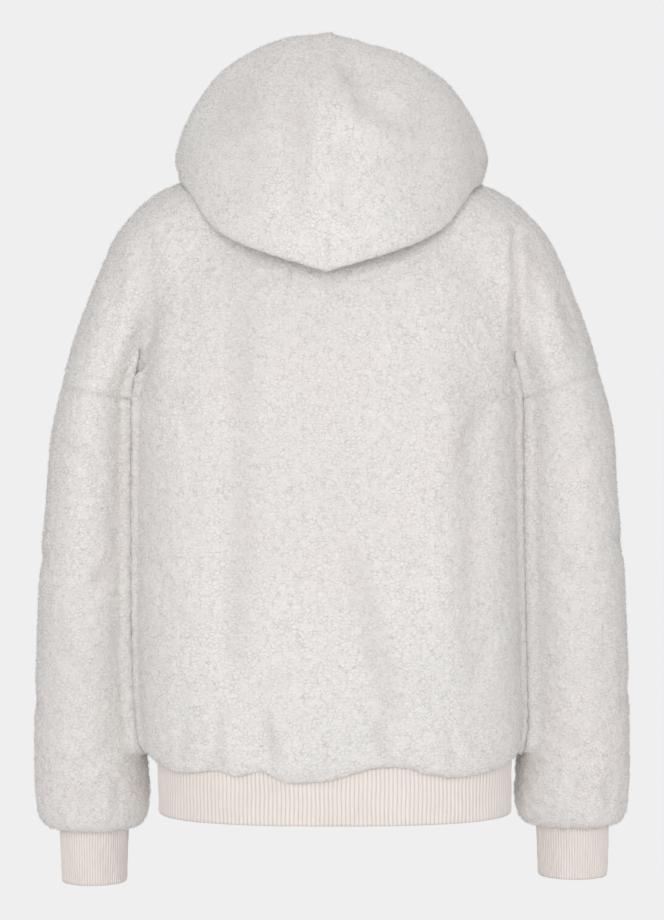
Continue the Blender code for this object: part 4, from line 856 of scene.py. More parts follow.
def height_of(points, grid):
    """Height of a grid's cloth over or under each point, or far below where it has none."""
    rows, columns = grid.shape[:2]
    quads = np.array(grid_quads(rows, columns))
    corners = grid.reshape(-1, 3)
    triangles = corners[np.concatenate([quads[:, [0, 1, 2]], quads[:, [0, 2, 3]]])]
    a, b, c = (triangles[:, k][None] for k in range(3))
    at = points.reshape(-1, 1, 3)

    def turn(p, q, r):
        return (q[..., 0] - p[..., 0]) * (r[..., 1] - p[..., 1]) - (q[..., 1] - p[..., 1]) * (
            r[..., 0] - p[..., 0]
        )

    whole = turn(a, b, c)
    whole = np.where(np.abs(whole) < 1e-12, 1e-12, whole)
    in_a, in_b, in_c = turn(at, b, c) / whole, turn(a, at, c) / whole, turn(a, b, at) / whole
    inside = np.minimum(np.minimum(in_a, in_b), in_c) > -1e-6
    height = in_a * a[..., 2] + in_b * b[..., 2] + in_c * c[..., 2]
    return np.where(inside, height, -9.0).max(axis=1).reshape(points.shape[:-1])


class Body:
    """The cloth of one side: outer and inner points of its three grids, as the solids have them."""

    def __init__(self, side):
        self.side = side
        self.chest, self.waist, self.sleeve = body_grids(side)
        middle = TORSO_COLUMNS
        chest_n = outward_normals(self.chest)
        waist_n = outward_normals(self.waist)
        sleeve_n = outward_normals(self.sleeve, closed=True)
        sections = slice(YOKE_ROWS + 1, None)
        chest_n[sections] = section_normals(self.chest[sections], side)
        chest_n[:, 0] = unit(chest_n[:, 0] * [0, 1, 1])
        waist_n[:, 0] = unit(waist_n[:, 0] * [0, 1, 1])
        torso_columns = [*range(middle + 1), *range(chest_n.shape[1] - middle, chest_n.shape[1])]
        waist_n[0] = chest_n[-1, torso_columns]
        sleeve_n[0, 1:-1] = chest_n[-1, middle + 1 : -middle - 1]
        for column in (middle, -middle - 1):
            chest_n[-1, column] = (0, 0, -1)
        waist_n[0, middle] = (0, 0, -1)
        sleeve_n[0, [0, -1]] = (-1, 0, 0)
        half = middle + ARM_COLUMNS
        calm = np.ones((len(self.waist) - 1, 1))
        calm[1 - len(ROLL) :, 0] = [roll.fullness for roll in ROLL[1:]]
        for face, columns in ((BACK, slice(0, half + 1)), (FRONT, slice(half, None))):
            self.chest[:, columns] = sink_folds(
                self.chest[:, columns], chest_n[:, columns], side, face
            )
        for face, columns in ((BACK, slice(0, middle + 1)), (FRONT, slice(middle, None))):
            self.waist[1:, columns] = sink_folds(
                self.waist[1:, columns], waist_n[1:, columns], side, face, calm
            )
        for face, columns in ((BACK, slice(0, middle + 1)), (FRONT, slice(middle + 1, None))):
            self.waist[:, columns] += hem_wave(self.waist[:, columns], side, face)
        self.chest_in = self.chest - chest_n * FLEECE
        self.waist_in = self.waist - waist_n * FLEECE
        self.sleeve_in = self.sleeve - sleeve_n * FLEECE

    def halves(self, face):
        """The torso and arm grids of this side's half of the back, or of its front."""
        middle, half = TORSO_COLUMNS, TORSO_COLUMNS + ARM_COLUMNS
        if face == BACK:
            upper, lower = slice(0, half + 1), slice(0, middle + 1)
            seam, beside, side_seam, side_beside = half, half - 1, middle, middle - 1
            arm = slice(middle, half + 1)
        else:
            upper, lower = slice(half, None), slice(middle, None)
            seam, beside, side_seam, side_beside = 0, 1, 0, 1
            arm = slice(0, ARM_COLUMNS + 1)
        torso_grids, arm_grids = [], []
        for chest, waist in ((self.chest, self.waist), (self.chest_in, self.waist_in)):
            top, bottom = chest[:, upper].copy(), waist[:, lower].copy()
            top[:, seam] = pull_edge(top, (slice(None), seam), (slice(None), beside))
            top[-1, arm] = pull_edge(top, (-1, arm), (-2, arm))
            bottom[1:, side_seam] = pull_edge(
                bottom[1:], (slice(None), side_seam), (slice(None), side_beside)
            )
            underarm = middle if face == BACK else ARM_COLUMNS
            top[-1, underarm] = chest[-1, middle] + [0, face * SEAM_GAP / 2, 0]
            body_part = slice(0, middle + 1) if face == BACK else slice(ARM_COLUMNS, None)
            torso_grids.append(np.concatenate([top[:, body_part], bottom[1:]]))
            arm_grids.append(top[:, arm])
        return torso_grids, arm_grids

    def sleeve_grids(self):
        """Outer and inner rings of the sleeve, its last column being its first again."""
        grids = []
        for rings in (self.sleeve, self.sleeve_in):
            rings = rings.copy()
            rings[0] = rings[0] + unit(rings[1] - rings[0]) * SEAM_GAP / 2
            rings[0, [0, -1]] = rings[0, 0] + [UNDERARM_CLEAR, 0, -SEAM_GAP]
            grids.append(rings)
        return grids


def hood_grids(body):
    """Outer and inner points of half the hood, at x over 0."""
    side = body.side
    grid, angles = hood_grid(HOOD_COLUMNS + 1, HOOD_ROWS + 1)
    down = np.linspace(0, 1, len(grid))[:, None]
    aside = np.cos(np.radians(np.clip(angles, 0, 90))) ** 2
    grid[..., 0] += side.sign * HOOD_SHIFT * np.sin(down * math.pi) ** 2 * aside
    if side.sign < 0:
        sunk = HOOD_RIGHT_LOWER * ease(angles / 30) * ease((120 - angles) / 40)
        grid[..., 2] -= np.maximum(grid[..., 2], 0) * sunk
    resting = HOOD_REST + np.max(
        [
            height_of(grid + np.array([x, y, 0]) * HOOD_REACH, body.chest)
            for x, y in ((0, 0), (1, 0), (-1, 0), (0, 1), (0, -1))
        ],
        axis=0,
    )
    grid[:-1, :, 2] = np.maximum(grid[:-1, :, 2], resting[:-1])
    normals = outward_normals(grid)
    normals[:, 0] = unit(normals[:, 0] * [0, 1, 1])
    normals[-1] = (0, 0, -1)
    sunk = np.zeros(grid.shape[:-1])
    for fold in HOOD_FOLDS:
        if fold.side == side.sign:
            along = (down - fold.place) / fold.length
            aside = (angles - fold.angle - fold.lean * (down - fold.place)) / fold.width
            sunk += fold.depth * np.exp(-(along**2) - aside**2)
    grid = grid - normals * sunk[..., None]
    inner = grid - normals * FLEECE
    grid[:, 0, 0] += SEAM_GAP / 2
    inner[:, 0, 0] += SEAM_GAP / 2 + HOOD_SEAM_LEAN
    return grid, inner


def parts_between(grid, step):
    """How many parts about as long as the step each interval between a grid's rows takes."""
    apart = np.linalg.norm(np.diff(grid, axis=0), axis=-1).mean(axis=1)
    return np.maximum(np.round(apart / step), 1).astype(int)


def inner_parts(parts):
    """As many parts as the inside takes, for intervals that the outside cuts into these."""
    return np.full(len(parts), INNER_PARTS)


def places_of(parts):
    """Where the points of a line lie, counted in the intervals that are cut into parts."""
    cut = [start + np.arange(count) / count for start, count in enumerate(parts)]
    return np.append(np.concatenate(cut), len(parts))


def finer(points, parts):
    """Points with each interval between rows cut into its number of parts, on smooth curves."""
    apart = np.linalg.norm(np.diff(points, axis=0), axis=-1)
    apart = apart.reshape(len(apart), -1).mean(axis=1)
    slope = np.gradient(points, np.concatenate([[0], np.cumsum(apart)]), axis=0)
    places = places_of(parts)
    at = np.minimum(places.astype(int), len(parts) - 1)
    share = (places - at).reshape(-1, *[1] * (points.ndim - 1))
    width = apart[at].reshape(share.shape)
    return smooth_between(
        points[at], slope[at] * width, points[at + 1], slope[at + 1] * width, share
    )


def finer_grid(grid, row_parts, column_parts):
    fine = finer(grid, row_parts)
    return finer(fine.swapaxes(0, 1), column_parts).swapaxes(0, 1)


def finer_tube(rings, row_parts, column_parts):
    """As finer_grid, for rings whose last column is their first again."""
    wrapped = np.concatenate([rings[:, -2:-1], rings, rings[:, 1:2]], axis=1)
    parts = np.concatenate([[1], column_parts, [1]])
    fine = finer_grid(wrapped, row_parts, parts)[:, 1:-1]
    fine[:, -1] = fine[:, 0]
    return fine


class Cloth:
    """Gathers the grids of one piece of cloth and makes them into one closed wall."""

    def __init__(self):
        self.points, self.outside, self.quads, self.triangles, self.edges = [], [], [], [], []
        self.count, self.raised = 0, None

    def add_points(self, points, outside):
        index = self.count + np.arange(points.shape[0] * points.shape[1])
        self.count += len(index)
        self.points.append(points.reshape(-1, 3))
        self.outside.append(np.full(len(index), outside))
        index = index.reshape(points.shape[:2])
        corners = (index[:-1, :-1], index[:-1, 1:], index[1:, 1:], index[1:, :-1])
        self.quads.append(np.stack([c.reshape(-1) for c in corners], axis=1))
        return index

    def add(self, layers, places, edges):
        """One grid: its outer and inner points, their places by row and by column, and the edges
        where the piece ends, each with the place that it starts from."""
        index = [self.add_points(layer, first) for layer, first in zip(layers, (True, False))]
        for edge, start in edges:
            line = []
            for layer in (0, 1):
                at = places[EDGES[edge].along][layer]
                kept = at >= start
                line += [index[layer][EDGES[edge].pick][kept], at[kept]]
                if layer == 0:
                    self.edges.append(layers[0][EDGES[edge].pick][kept])
            self.join(*line)

    def join(self, outer, outer_places, inner, inner_places):
        """Triangles between an edge of the outer face and the same edge of the inner one."""
        i, j = 0, 0
        while i < len(outer) - 1 or j < len(inner) - 1:
            next_outer = outer_places[i + 1] if i < len(outer) - 1 else math.inf
            next_inner = inner_places[j + 1] if j < len(inner) - 1 else math.inf
            if next_outer <= next_inner:
                self.triangles.append((outer[i], outer[i + 1], inner[j]))
                i += 1
            else:
                self.triangles.append((outer[i], inner[j + 1], inner[j]))
                j += 1

    def surface(self):
        """The outside alone, to measure gaps to."""
        points, quads = np.concatenate(self.points), np.concatenate(self.quads)
        outside = np.concatenate(self.outside)
        quads = quads[outside[quads].all(axis=1)]
        return BVHTree.FromPolygons(points.tolist(), quads.tolist())

    def mesh(self, name):
        """The closed mesh, which of its points are outside, the outer faces and their rim."""
        points = np.concatenate(self.points)
        _, first, index = np.unique(
            np.round(points * WELD).astype(np.int64), axis=0, return_index=True, return_inverse=True
        )
        if self.raised is not None:
            self.raised = np.resize(self.raised, len(points))[first]
        index = index.reshape(-1)
        faces = index[np.concatenate(self.quads)].tolist()
        faces += index[np.array(self.triangles)].tolist()
        made = bpy.data.meshes.new(name)
        made.from_pydata(points[first].tolist(), [], faces)
        closed = bmesh.new()
        closed.from_mesh(made)
        bmesh.ops.recalc_face_normals(closed, faces=closed.faces)
        open_edges = sum(not edge.is_manifold for edge in closed.edges)
        closed.to_mesh(made)
        closed.free()
        if open_edges:
            raise RuntimeError(f"{name}: {open_edges} open edges")
        outside = np.concatenate(self.outside)[first]
        quads = index[np.concatenate(self.quads)]
        quads = quads[outside[quads].all(axis=1)]
        rim = np.unique(index[np.array(self.triangles)])
        return made, outside, quads, rim[outside[rim]]


def values_of(mesh, source, size):
    """A per-point property of a mesh as an array."""
    found = np.empty(len(mesh.vertices) * size, np.float32)
    if source == "normal":
        mesh.vertex_normals.foreach_get("vector", found)
    else:
        mesh.vertices.foreach_get(source, found)
    return found.reshape(-1, size).astype(float)


def gathered(quads, values, count):
    """The sum at each point of the values of the faces round it."""
    total = np.zeros((count, 3))
    for corner in quads.T:
        np.add.at(total, corner, values)
    return total


def outer_normals(points, quads, facing):
    """Normals of the outer face alone, so that an edge isn't turned aside by its rim."""
    corners = points[quads]
    across = np.cross(corners[:, 2] - corners[:, 0], corners[:, 3] - corners[:, 1])
    across *= np.sign((across * facing[quads].sum(axis=1)).sum(axis=1))[:, None]
    normals = unit(gathered(quads, across, len(points)))
    lost = np.linalg.norm(normals, axis=1) < 0.5
    normals[lost] = facing[lost]
    return normals


def way_out(points, quads, rim):
    """At each point of the rim, the direction that leads off the cloth."""
    middle = points[quads].mean(axis=1)
    away = gathered(quads, -middle, len(points))
    shared = gathered(quads, np.ones((len(quads), 3)), len(points))
    out = np.zeros(points.shape)
    out[rim] = unit(away[rim] + points[rim] * shared[rim])
    return out


def swelling(points, normals, beside):
    """How far the pile stands out at each point to fill the gap to the cloth beside it."""
    swollen = np.zeros(len(points))
    near = (np.abs(points[:, 0]) > SWELL_X) & (points[:, 2] < SWELL_TOP_Z)
    for index in np.nonzero(near)[0]:
        start = points[index] + normals[index] * 1e-4
        for surface in beside:
            gap = surface.ray_cast(start, normals[index], SWELL_GAP)[3]
            if gap:
                swollen[index] = (gap * 0.5 + SWELL_PRESS) * ease(1.5 * (1 - gap / SWELL_GAP))
    return swollen


def distance_to(points, lines):
    """How far each point is from the nearest point of some lines."""
    targets = np.concatenate(lines)
    tree = kdtree.KDTree(len(targets))
    for index, target in enumerate(targets):
        tree.insert(target, index)
    tree.balance()
    return np.array([tree.find(point)[2] for point in points])


def curls(points, size):
    """The pile's surface at each point, from 0 in a crack between curls to 1 on top of one."""
    noise.seed_set(CURL_SEED)
    heights = np.empty(len(points))
    for index, point in enumerate(points / size):
        at = Vector(point)
        at += noise.noise_vector(at * 0.7) * 0.45
        near, further = noise.voronoi(at)[0][:2]
        crack = min((further - near) * 1.5, 1.0)
        heights[index] = 0.4 * crack * (2 - crack) + 0.6 * max(1 - near * near * 1.3, 0.0)
    return heights


def crease_depth(points, normals, creases):
    """How far the cloth sinks at each point into the listed creases."""
    sunk = np.zeros(len(points))
    for crease in creases:
        axis, facing = VIEWS[crease.view]
        seen = ease((normals @ np.array(facing) - 0.05) * 1.8)
        seen *= (points @ np.array(facing)) > 0
        start, end = np.array([crease.at, crease.z]), np.array([crease.to, crease.to_z])
        run = end - start
        length = np.linalg.norm(run)
        from_start = points[:, [axis, 2]] - start
        along = from_start @ run / length**2
        aside = (from_start[:, 0] * run[1] - from_start[:, 1] * run[0]) / length
        aside -= crease.bow * np.sin(np.clip(along, 0, 1) * math.pi)
        ends = ease(along * 4) * ease((1 - along) * 4)
        uneven = 1 + 0.16 * np.sin(along * 9 + crease.z * 60) + 0.08 * np.sin(along * 23)
        valley = np.exp(-((aside / crease.width) ** 2))
        shoulder = np.exp(-(((np.abs(aside) - 2.1 * crease.width) / crease.width) ** 2))
        sunk += crease.depth * ends * uneven * seen * (valley - 0.3 * shoulder)
    return sunk


def dress(name, cloth, material, settings, creases, sink=1.0, beside=(), depth=1.0):
    """Makes a piece of fleece: curls on its outside, calm and sunk in at its edges, with shade
    painted along its sewn edges and into its creases, and swollen against the cloth beside it."""
    mesh, outside, quads, rim = cloth.mesh(name)
    points, facing = values_of(mesh, "co", 3), values_of(mesh, "normal", 3)
    normals = outer_normals(points, quads, facing)
    reach = way_out(points, quads, rim) * EDGE_REACH
    heights, folds, moved = (np.full(len(points), start) for start in (0.7, 0.0, 0.0))
    out, facing = points[outside], normals[outside]
    from_edge = distance_to(out, cloth.edges)
    calm = ease(from_edge / EDGE_CALM)
    heights[outside] = curls(out, CLUMP_SIZE)
    clumps = np.array([noise.noise(Vector(point) * 38) for point in out])
    relief = depth * settings.curl_depth * (1 + 0.4 * clumps) * (heights[outside] - 0.62)
    folds[outside] = crease_depth(out, facing, creases)
    moved[outside] = relief * (0.25 + 0.75 * calm) - sink * settings.seam_sink * (1 - calm)
    moved[outside] += swelling(out, facing, beside) - folds[outside] * calm
    points += normals * moved[:, None] + reach
    mesh.vertices.foreach_set("co", points.astype(np.float32).reshape(-1))
    # The curl mark also sets the shade painted into the hollows between curls.
    mark(mesh, "curl", heights)
    # Painted shade for the material: the creases' depth, and a band along each sewn edge.
    painted_shade = folds * 200
    painted_shade[outside] += sink * (1 - ease(from_edge / SEAM_SHADE))
    mark(mesh, "fold", painted_shade)
    mesh.shade_smooth()
    mesh.set_sharp_from_angle(angle=math.radians(62))
    pile(name, points, normals, quads, material, settings)
    return add_piece(name, mesh, material)


def places_on_map(count):
    """A place for each blade on a square map, row by row, so that its finish can be baked."""
    cells_across = math.ceil(math.sqrt(count))
    row, column = np.divmod(np.arange(count), cells_across)
    corner = np.array([(0.1, 0.1), (0.9, 0.1), (0.5, 0.9)])
    cell = np.stack([column, row], axis=1)[:, None]
    return ((cell + corner) / cells_across).astype(np.float32)


def mark(mesh, name, values):
    """Keeps a value at each point for the material to read."""
    attribute = mesh.attributes.new(name, "FLOAT", "POINT")
    attribute.data.foreach_set("value", values.astype(np.float32))


def pile(name, points, normals, quads, material, settings):
    """Loose ends of the pile: small leaning blades all over the outside of a piece."""
    chance = np.random.default_rng(len(quads))
    corners = points[quads]
    sides = corners[:, 2] - corners[:, 0], corners[:, 3] - corners[:, 1]
    area = np.linalg.norm(np.cross(*sides), axis=1) / 2
    count = int(area.sum() * settings.pile_density)
    face = chance.choice(len(quads), count, p=area / area.sum())
    share = chance.random((2, count, 1))
    weights = ((1 - share[0]) * (1 - share[1]), share[0] * (1 - share[1]),
               share[0] * share[1], (1 - share[0]) * share[1])
    root = sum(w * corners[face, i] for i, w in enumerate(weights))
    up = unit(sum(w * normals[quads[face, i]] for i, w in enumerate(weights)))
    lean = unit(up + chance.normal(0, settings.pile_lean, (count, 3)))
    across = unit(np.cross(lean, chance.normal(0, 1, (count, 3))))
    length = settings.pile_length * (0.45 + 0.75 * chance.random((count, 1)))
    width = settings.pile_length * PILE_WIDTH
    root = root - up * PILE_ROOT
    tip = root + lean * length
    blades = np.stack([root - across * width, root + across * width, tip], axis=1)
    mesh = bpy.data.meshes.new(f"{name}_pile")
    mesh.vertices.add(count * 3)
    mesh.vertices.foreach_set("co", blades.astype(np.float32).reshape(-1))
    mesh.loops.add(count * 3)
    mesh.loops.foreach_set("vertex_index", np.arange(count * 3, dtype=np.int32))
    mesh.polygons.add(count)
    mesh.polygons.foreach_set("loop_start", np.arange(0, count * 3, 3, dtype=np.int32))
    mesh.update()
    mark(mesh, "curl", np.full(count * 3, 0.7))
    mesh.uv_layers.new(name=PILE_MAP).uv.foreach_set("vector", places_on_map(count).reshape(-1))
    piece = add_piece(f"{name}_pile", mesh, material)


def add_piece(name, mesh, material, body=BODY):
    piece = bpy.data.objects.new(name, mesh)
    bpy.context.scene.collection.objects.link(piece)
    mesh.materials.clear()
    mesh.materials.append(material)
    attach(piece, body)
    return piece


def plain_places(row_parts, column_parts):
    """Places of the outer points and of the inner ones, by row and by column."""
    return tuple(
        (places_of(parts), places_of(inner_parts(parts)))
        for parts in (row_parts, column_parts)
    )


class Panel:
    """One side's half of the back, or its front: fine points outside, coarser ones inside."""

    def __init__(self, body, face, parts=None):
        torso, arm = body.halves(face)
        self.parts = parts or (
            parts_between(torso[0], CLOTH_STEP),
            parts_between(torso[0].swapaxes(0, 1), CLOTH_STEP),
            parts_between(arm[0].swapaxes(0, 1), CLOTH_STEP),
        )
        joint, arm_joint = (-1, 0) if face == BACK else (0, -1)
        self.torso, self.arm = [], []
        for layer in (0, 1):
            rows, columns, arm_columns = (inner_parts(p) if layer else p for p in self.parts)
            fine = finer_grid(torso[layer], rows, columns)
            fine_arm = finer_grid(arm[layer], rows[:CHEST_END], arm_columns)
            fine_arm[:, arm_joint] = fine[: len(fine_arm), joint]
            self.torso.append(place(fine, body.side))
            self.arm.append(place(fine_arm, body.side))

    def add_to(self, cloth, torso_edges, arm_edges):
        rows, columns, arm_columns = self.parts
        cloth.add(self.torso, plain_places(rows, columns), torso_edges)
        cloth.add(self.arm, plain_places(rows[:CHEST_END], arm_columns), arm_edges)


def back_cloth(left, right):
    """The back is one panel: both halves, which share the points of the centre line."""
    halves = [Panel(left, BACK)]
    halves.append(Panel(right, BACK, halves[0].parts))
    for one, other in zip(halves[0].torso, halves[1].torso):
        centre = (one[:, 0] + other[:, 0]) / 2 * [0, 1, 1]
        one[:, 0], other[:, 0] = centre, centre
    cloth = Cloth()
    for half in halves:
        half.add_to(
            cloth,
            (("top", 0), ("bottom", 0), ("last", CHEST_END)),
            (("top", 0), ("bottom", 0), ("last", 0)),
        )
    return cloth


def front_cloth(body):
    cloth = Cloth()
    Panel(body, FRONT).add_to(
        cloth,
        (("top", 0), ("bottom", 0), ("first", CHEST_END), ("last", 0)),
        (("top", 0), ("bottom", 0), ("first", 0)),
    )
    return cloth


def tube_cloth(outer, inner, side):
    """A sleeve, whose last column is its first again."""
    rows = parts_between(outer, CLOTH_STEP)
    columns = parts_between(outer.swapaxes(0, 1), CLOTH_STEP)
    places = plain_places(rows, columns)
    fine = [
        finer_tube(outer, rows, columns),
        finer_tube(inner, inner_parts(rows), inner_parts(columns)),
    ]
    cloth = Cloth()
    cloth.add([place(f, side) for f in fine], places, (("top", 0), ("bottom", 0)))
    return cloth


def sheet_cloth(outer, inner, side):
    """A piece of cloth from one grid, which ends on all four sides."""
    rows = parts_between(outer, CLOTH_STEP)
    columns = parts_between(outer.swapaxes(0, 1), CLOTH_STEP)
    fine = [
        finer_grid(outer, rows, columns),
        finer_grid(inner, inner_parts(rows), inner_parts(columns)),
    ]
    cloth = Cloth()
    cloth.add(
        [place(f, side) for f in fine],
        plain_places(rows, columns),
        tuple((edge, 0) for edge in EDGES),
    )
    return cloth


def along_oval(middle, width, back, front, power, share, raised, opening=0.0):
    """Points along an oval from its front over the left and the back, moved out by raised."""
    fine = np.linspace(0, 2 * math.pi, 4001)
    depth = np.where(np.cos(fine) < 0, back, front)
    x = width * np.sign(np.sin(fine)) * np.abs(np.sin(fine)) ** (2 / power)
    y = -depth * np.sign(np.cos(fine)) * np.abs(np.cos(fine)) ** (2 / power)
    line = np.stack([x, y], axis=-1)
    length = run_along(line)
    at = opening + share * (length[-1] - 2 * opening)
    points, ahead, behind = (
        np.stack([np.interp(a % length[-1], length, line[:, k]) for k in range(2)], axis=-1)
        for a in (at, at + 0.0005, at - 0.0005)
    )
    run = unit(ahead - behind)
    outward = np.stack([run[:, 1], -run[:, 0]], axis=-1)
    return np.array(middle) + points + outward * np.asarray(raised)[:, None]


def rib_height(places):
    """How far a ribbed band stands out, places being counted in ribs."""
    return RIB_HEIGHT * np.abs(np.cos(places * math.pi)) ** 0.62


def band_cloth(line, top, bottom, ribs, closed):
    """A ribbed band. line(share, z, raised) gives the points of its wall at one height."""
    count = ribs * RIB_POINTS
    share = np.linspace(0, 1, count + 1)
    heights = np.linspace(top, bottom, BAND_ROWS + 1)
    down = (top - heights) / (top - bottom)
    round_off = 1 - 0.7 * np.exp(-(1 - down) / 0.02) - 0.4 * np.exp(-down / 0.03)
    outer, ridges = [], []
    for z, full in zip(heights, round_off):
        sway = 0.0003 * np.sin(share * 61 + z * 90) + 0.0002 * np.sin(share * 143 - z * 210)
        ridge = rib_height(share * ribs + 0.05 * np.sin(z * 160 + share * 40))
        ridges.append(ridge / RIB_HEIGHT)
        outer.append(line(share, z, ridge * full + sway))
    inner_share = share[::RIB_POINTS]
    inner_heights = heights[:: BAND_ROWS // 4]
    inner = [line(inner_share, z, np.full(len(inner_share), -RIB_WALL)) for z in inner_heights]
    outer, inner = np.array(outer), np.array(inner)
    if closed:
        outer[:, -1], inner[:, -1] = outer[:, 0], inner[:, 0]
    places = (down, (top - inner_heights) / (top - bottom)), (share, inner_share)
    cloth = Cloth()
    edges = (("top", 0), ("bottom", 0)) + (() if closed else (("first", 0), ("last", 0)))
    cloth.add([outer, inner], places, edges)
    # How far each point stands up its rib, which the knit's painted groove shade reads.
    cloth.raised = np.concatenate([np.concatenate(ridges), np.ones(inner.size // 3)])
    return cloth


def level(points, z):
    return np.concatenate([points, np.full((len(points), 1), z)], axis=1)


def hem_line(share, z, raised):
    """Points of the ribbed hem, from the left zip edge round the back to the right one."""
    down = (HEM_TOP_Z - z) / (HEM_TOP_Z - HEM_BOTTOM_Z)
    inset = RIB_HEIGHT + 0.001 * down
    points = along_oval(
        (HEM_SHIFT, 0),
        HEM_WIDTH - inset,
        HEM_BACK - inset,
        HEM_FRONT - inset,
        HEM_SQUARE,
        share,
        raised,
        ZIP_OPENING,
    )
    return level(points, z)


def cuff_line(side):
    """The line round one cuff, as band_cloth asks for it."""

    def line(share, z, raised):
        x, y, half, depth = cuff_oval(side, z)
        inset = SEAM_GAP + RIB_HEIGHT
        middle = (side.sign * x, y)
        return level(
            along_oval(middle, half - inset, depth - inset, depth - inset, 2.0, share, raised), z
        )

    return line


def plain_piece(name, cloth, material):
    mesh = cloth.mesh(name)[0]
    # The ridge mark sets the shade painted into the rib grooves.
    if cloth.raised is not None:
        mark(mesh, "ridge", cloth.raised)
    mesh.shade_smooth()
    return add_piece(name, mesh, material)


def zip_patch(body):
    """The front's inner face beside the zip: its edge and the column next to it, going down."""
    full = WAIST_ROWS + 1
    edge = np.concatenate([body.chest_in[:, -1], body.waist_in[1:full, -1]])
    beside = np.concatenate([body.chest_in[:, -2], body.waist_in[1:full, -2]])
    keep = edge[:, 2] < ZIP_TOP_Z - 0.003
    first = int(np.argmax(keep)) - 1
    share = (ZIP_TOP_Z - edge[first, 2]) / (edge[first + 1, 2] - edge[first, 2])
    rows = []
    for line in (edge, beside):
        top = line[first] + (line[first + 1] - line[first]) * share
        rows.append(np.concatenate([top[None], line[first + 1 :]]))
    return rows


def zip_face(body, x):
    """Points just behind the front and the hem, x from the middle of the zip, going down."""
    edge, beside = zip_patch(body)
    share = ((x - edge[:, 0]) / (beside[:, 0] - edge[:, 0]))[:, None]
    points = edge + (beside - edge) * share
    points[:, 1] += TAPE_CLEAR
    inset = RIB_HEIGHT + RIB_WALL
    ratio = (x / (HEM_WIDTH - inset)) ** HEM_SQUARE
    hem_y = -(HEM_FRONT - inset) * (1 - ratio) ** (1 / HEM_SQUARE) + TAPE_CLEAR + 0.001
    low = [[x, hem_y, z] for z in (HEM_TOP_Z + 0.003, HEM_BOTTOM_Z + 0.0005)]
    return np.concatenate([points, low])


def chain_line(left, right):
    """The middle of the closed teeth, going down."""
    middle = (zip_face(left, 0.0) + zip_face(right, 0.0)) / 2
    return middle + [0, TAPE_THICKNESS / 2, 0]


def on_line(line, z):
    """The point of a falling line at a height."""
    return np.array([np.interp(-z, -line[:, 2], line[:, k]) for k in range(3)])


def tape_piece(body, material):
    """One side's zip tape, with the cord that its teeth are set on along its inner edge."""
    across = np.linspace(TAPE_OUTER, TAPE_INNER, TAPE_COLUMNS + 1)
    columns = [zip_face(body, x) for x in across]
    front = np.stack(columns, axis=1)
    inner_share = (across - TAPE_INNER) / (TAPE_OUTER - TAPE_INNER)
    cord = np.exp(-((inner_share - 0.06) / 0.07) ** 2)
    front[..., 1] -= 0.0004 * cord
    back = front[:, :: TAPE_COLUMNS // 2] + [0, TAPE_THICKNESS, 0]
    rows = parts_between(front, TAPE_STEP)
    fine = [finer(front, rows), finer(back, inner_parts(rows))]
    places = (
        (places_of(rows), places_of(inner_parts(rows))),
        (np.arange(TAPE_COLUMNS + 1), np.arange(3) * TAPE_COLUMNS / 2),
    )
    cloth = Cloth()
    cloth.add([place(f, body.side) for f in fine], places, tuple((edge, 0) for edge in EDGES))
    return plain_piece(f"tape_{body.side.name}", cloth, material)


def rounded_block(size, bevel):
    """A block with its edges taken off, as points and faces."""
    block = bmesh.new()
    bmesh.ops.create_cube(block, size=1.0)
    bmesh.ops.scale(block, vec=size, verts=block.verts)
    bmesh.ops.bevel(
        block, geom=block.edges[:], offset=bevel, segments=1, profile=0.6, affect="EDGES"
    )
    block.verts.index_update()
    points = np.array([v.co[:] for v in block.verts])
    faces = [[v.index for v in face.verts] for face in block.faces]
    block.free()
    return points, faces


def repeated(parts):
    """Several sets of points and faces as one."""
    points, faces, count = [], [], 0
    for own_points, own_faces in parts:
        points.append(own_points)
        faces += [[i + count for i in face] for face in own_faces]
        count += len(own_points)
    return np.concatenate(points), faces


def teeth(line):
    """Closed teeth in turn from the left and the right, down the middle of the zip."""
    shape = rounded_block((TOOTH_REACH, TOOTH_DEPTH, TOOTH_HEIGHT), TOOTH_EDGE)
    head = rounded_block((HEAD_REACH, TOOTH_DEPTH * 0.8, TOOTH_HEIGHT * 1.15), HEAD_EDGE)
    top = SLIDER_Z + CHAIN_REACH - TOOTH_HEIGHT
    end = HEM_BOTTOM_Z + 0.0005 + BOX_HEIGHT + SEAM_GAP + TOOTH_HEIGHT
    parts = []
    for index, z in enumerate(np.arange(top, end, -TOOTH_PITCH / 2)):
        at, above = on_line(line, z), on_line(line, z + 0.002)
        tilt = math.atan2(above[1] - at[1], above[2] - at[2])
        turn = np.array([[1, 0, 0], [0, math.cos(tilt), math.sin(tilt)],
                         [0, -math.sin(tilt), math.cos(tilt)]])
        side = 1 if index % 2 else -1
        for (points, faces), x in ((shape, TOOTH_X), (head, HEAD_X)):
            parts.append(((points + [x * side, 0, 0]) @ turn + at, faces))
    return repeated(parts)


def solid_piece(name, points, faces, material):
    mesh = bpy.data.meshes.new(name)
    mesh.from_pydata(points.tolist(), [], faces)
    mesh.shade_smooth()
    return add_piece(name, mesh, material)


def softened(name, node, width, material, body):
    """A copy of a small metal solid with its edges rounded."""
    shape = bmesh.new()
    shape.from_mesh(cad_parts[node].data)
    bmesh.ops.remove_doubles(shape, verts=shape.verts, dist=1e-6)
    bmesh.ops.dissolve_limit(
        shape, angle_limit=math.radians(2), verts=shape.verts, edges=shape.edges
    )
    sharp = [e for e in shape.edges if e.calc_face_angle(0) > math.radians(30)]
    bmesh.ops.bevel(
        shape, geom=sharp, offset=width, segments=3, profile=0.5, affect="EDGES", clamp_overlap=True
    )
    mesh = bpy.data.meshes.new(name)
    shape.to_mesh(mesh)
    shape.free()
    mesh.shade_smooth()
    mesh.set_sharp_from_angle(angle=math.radians(40))
    return add_piece(name, mesh, material, body)


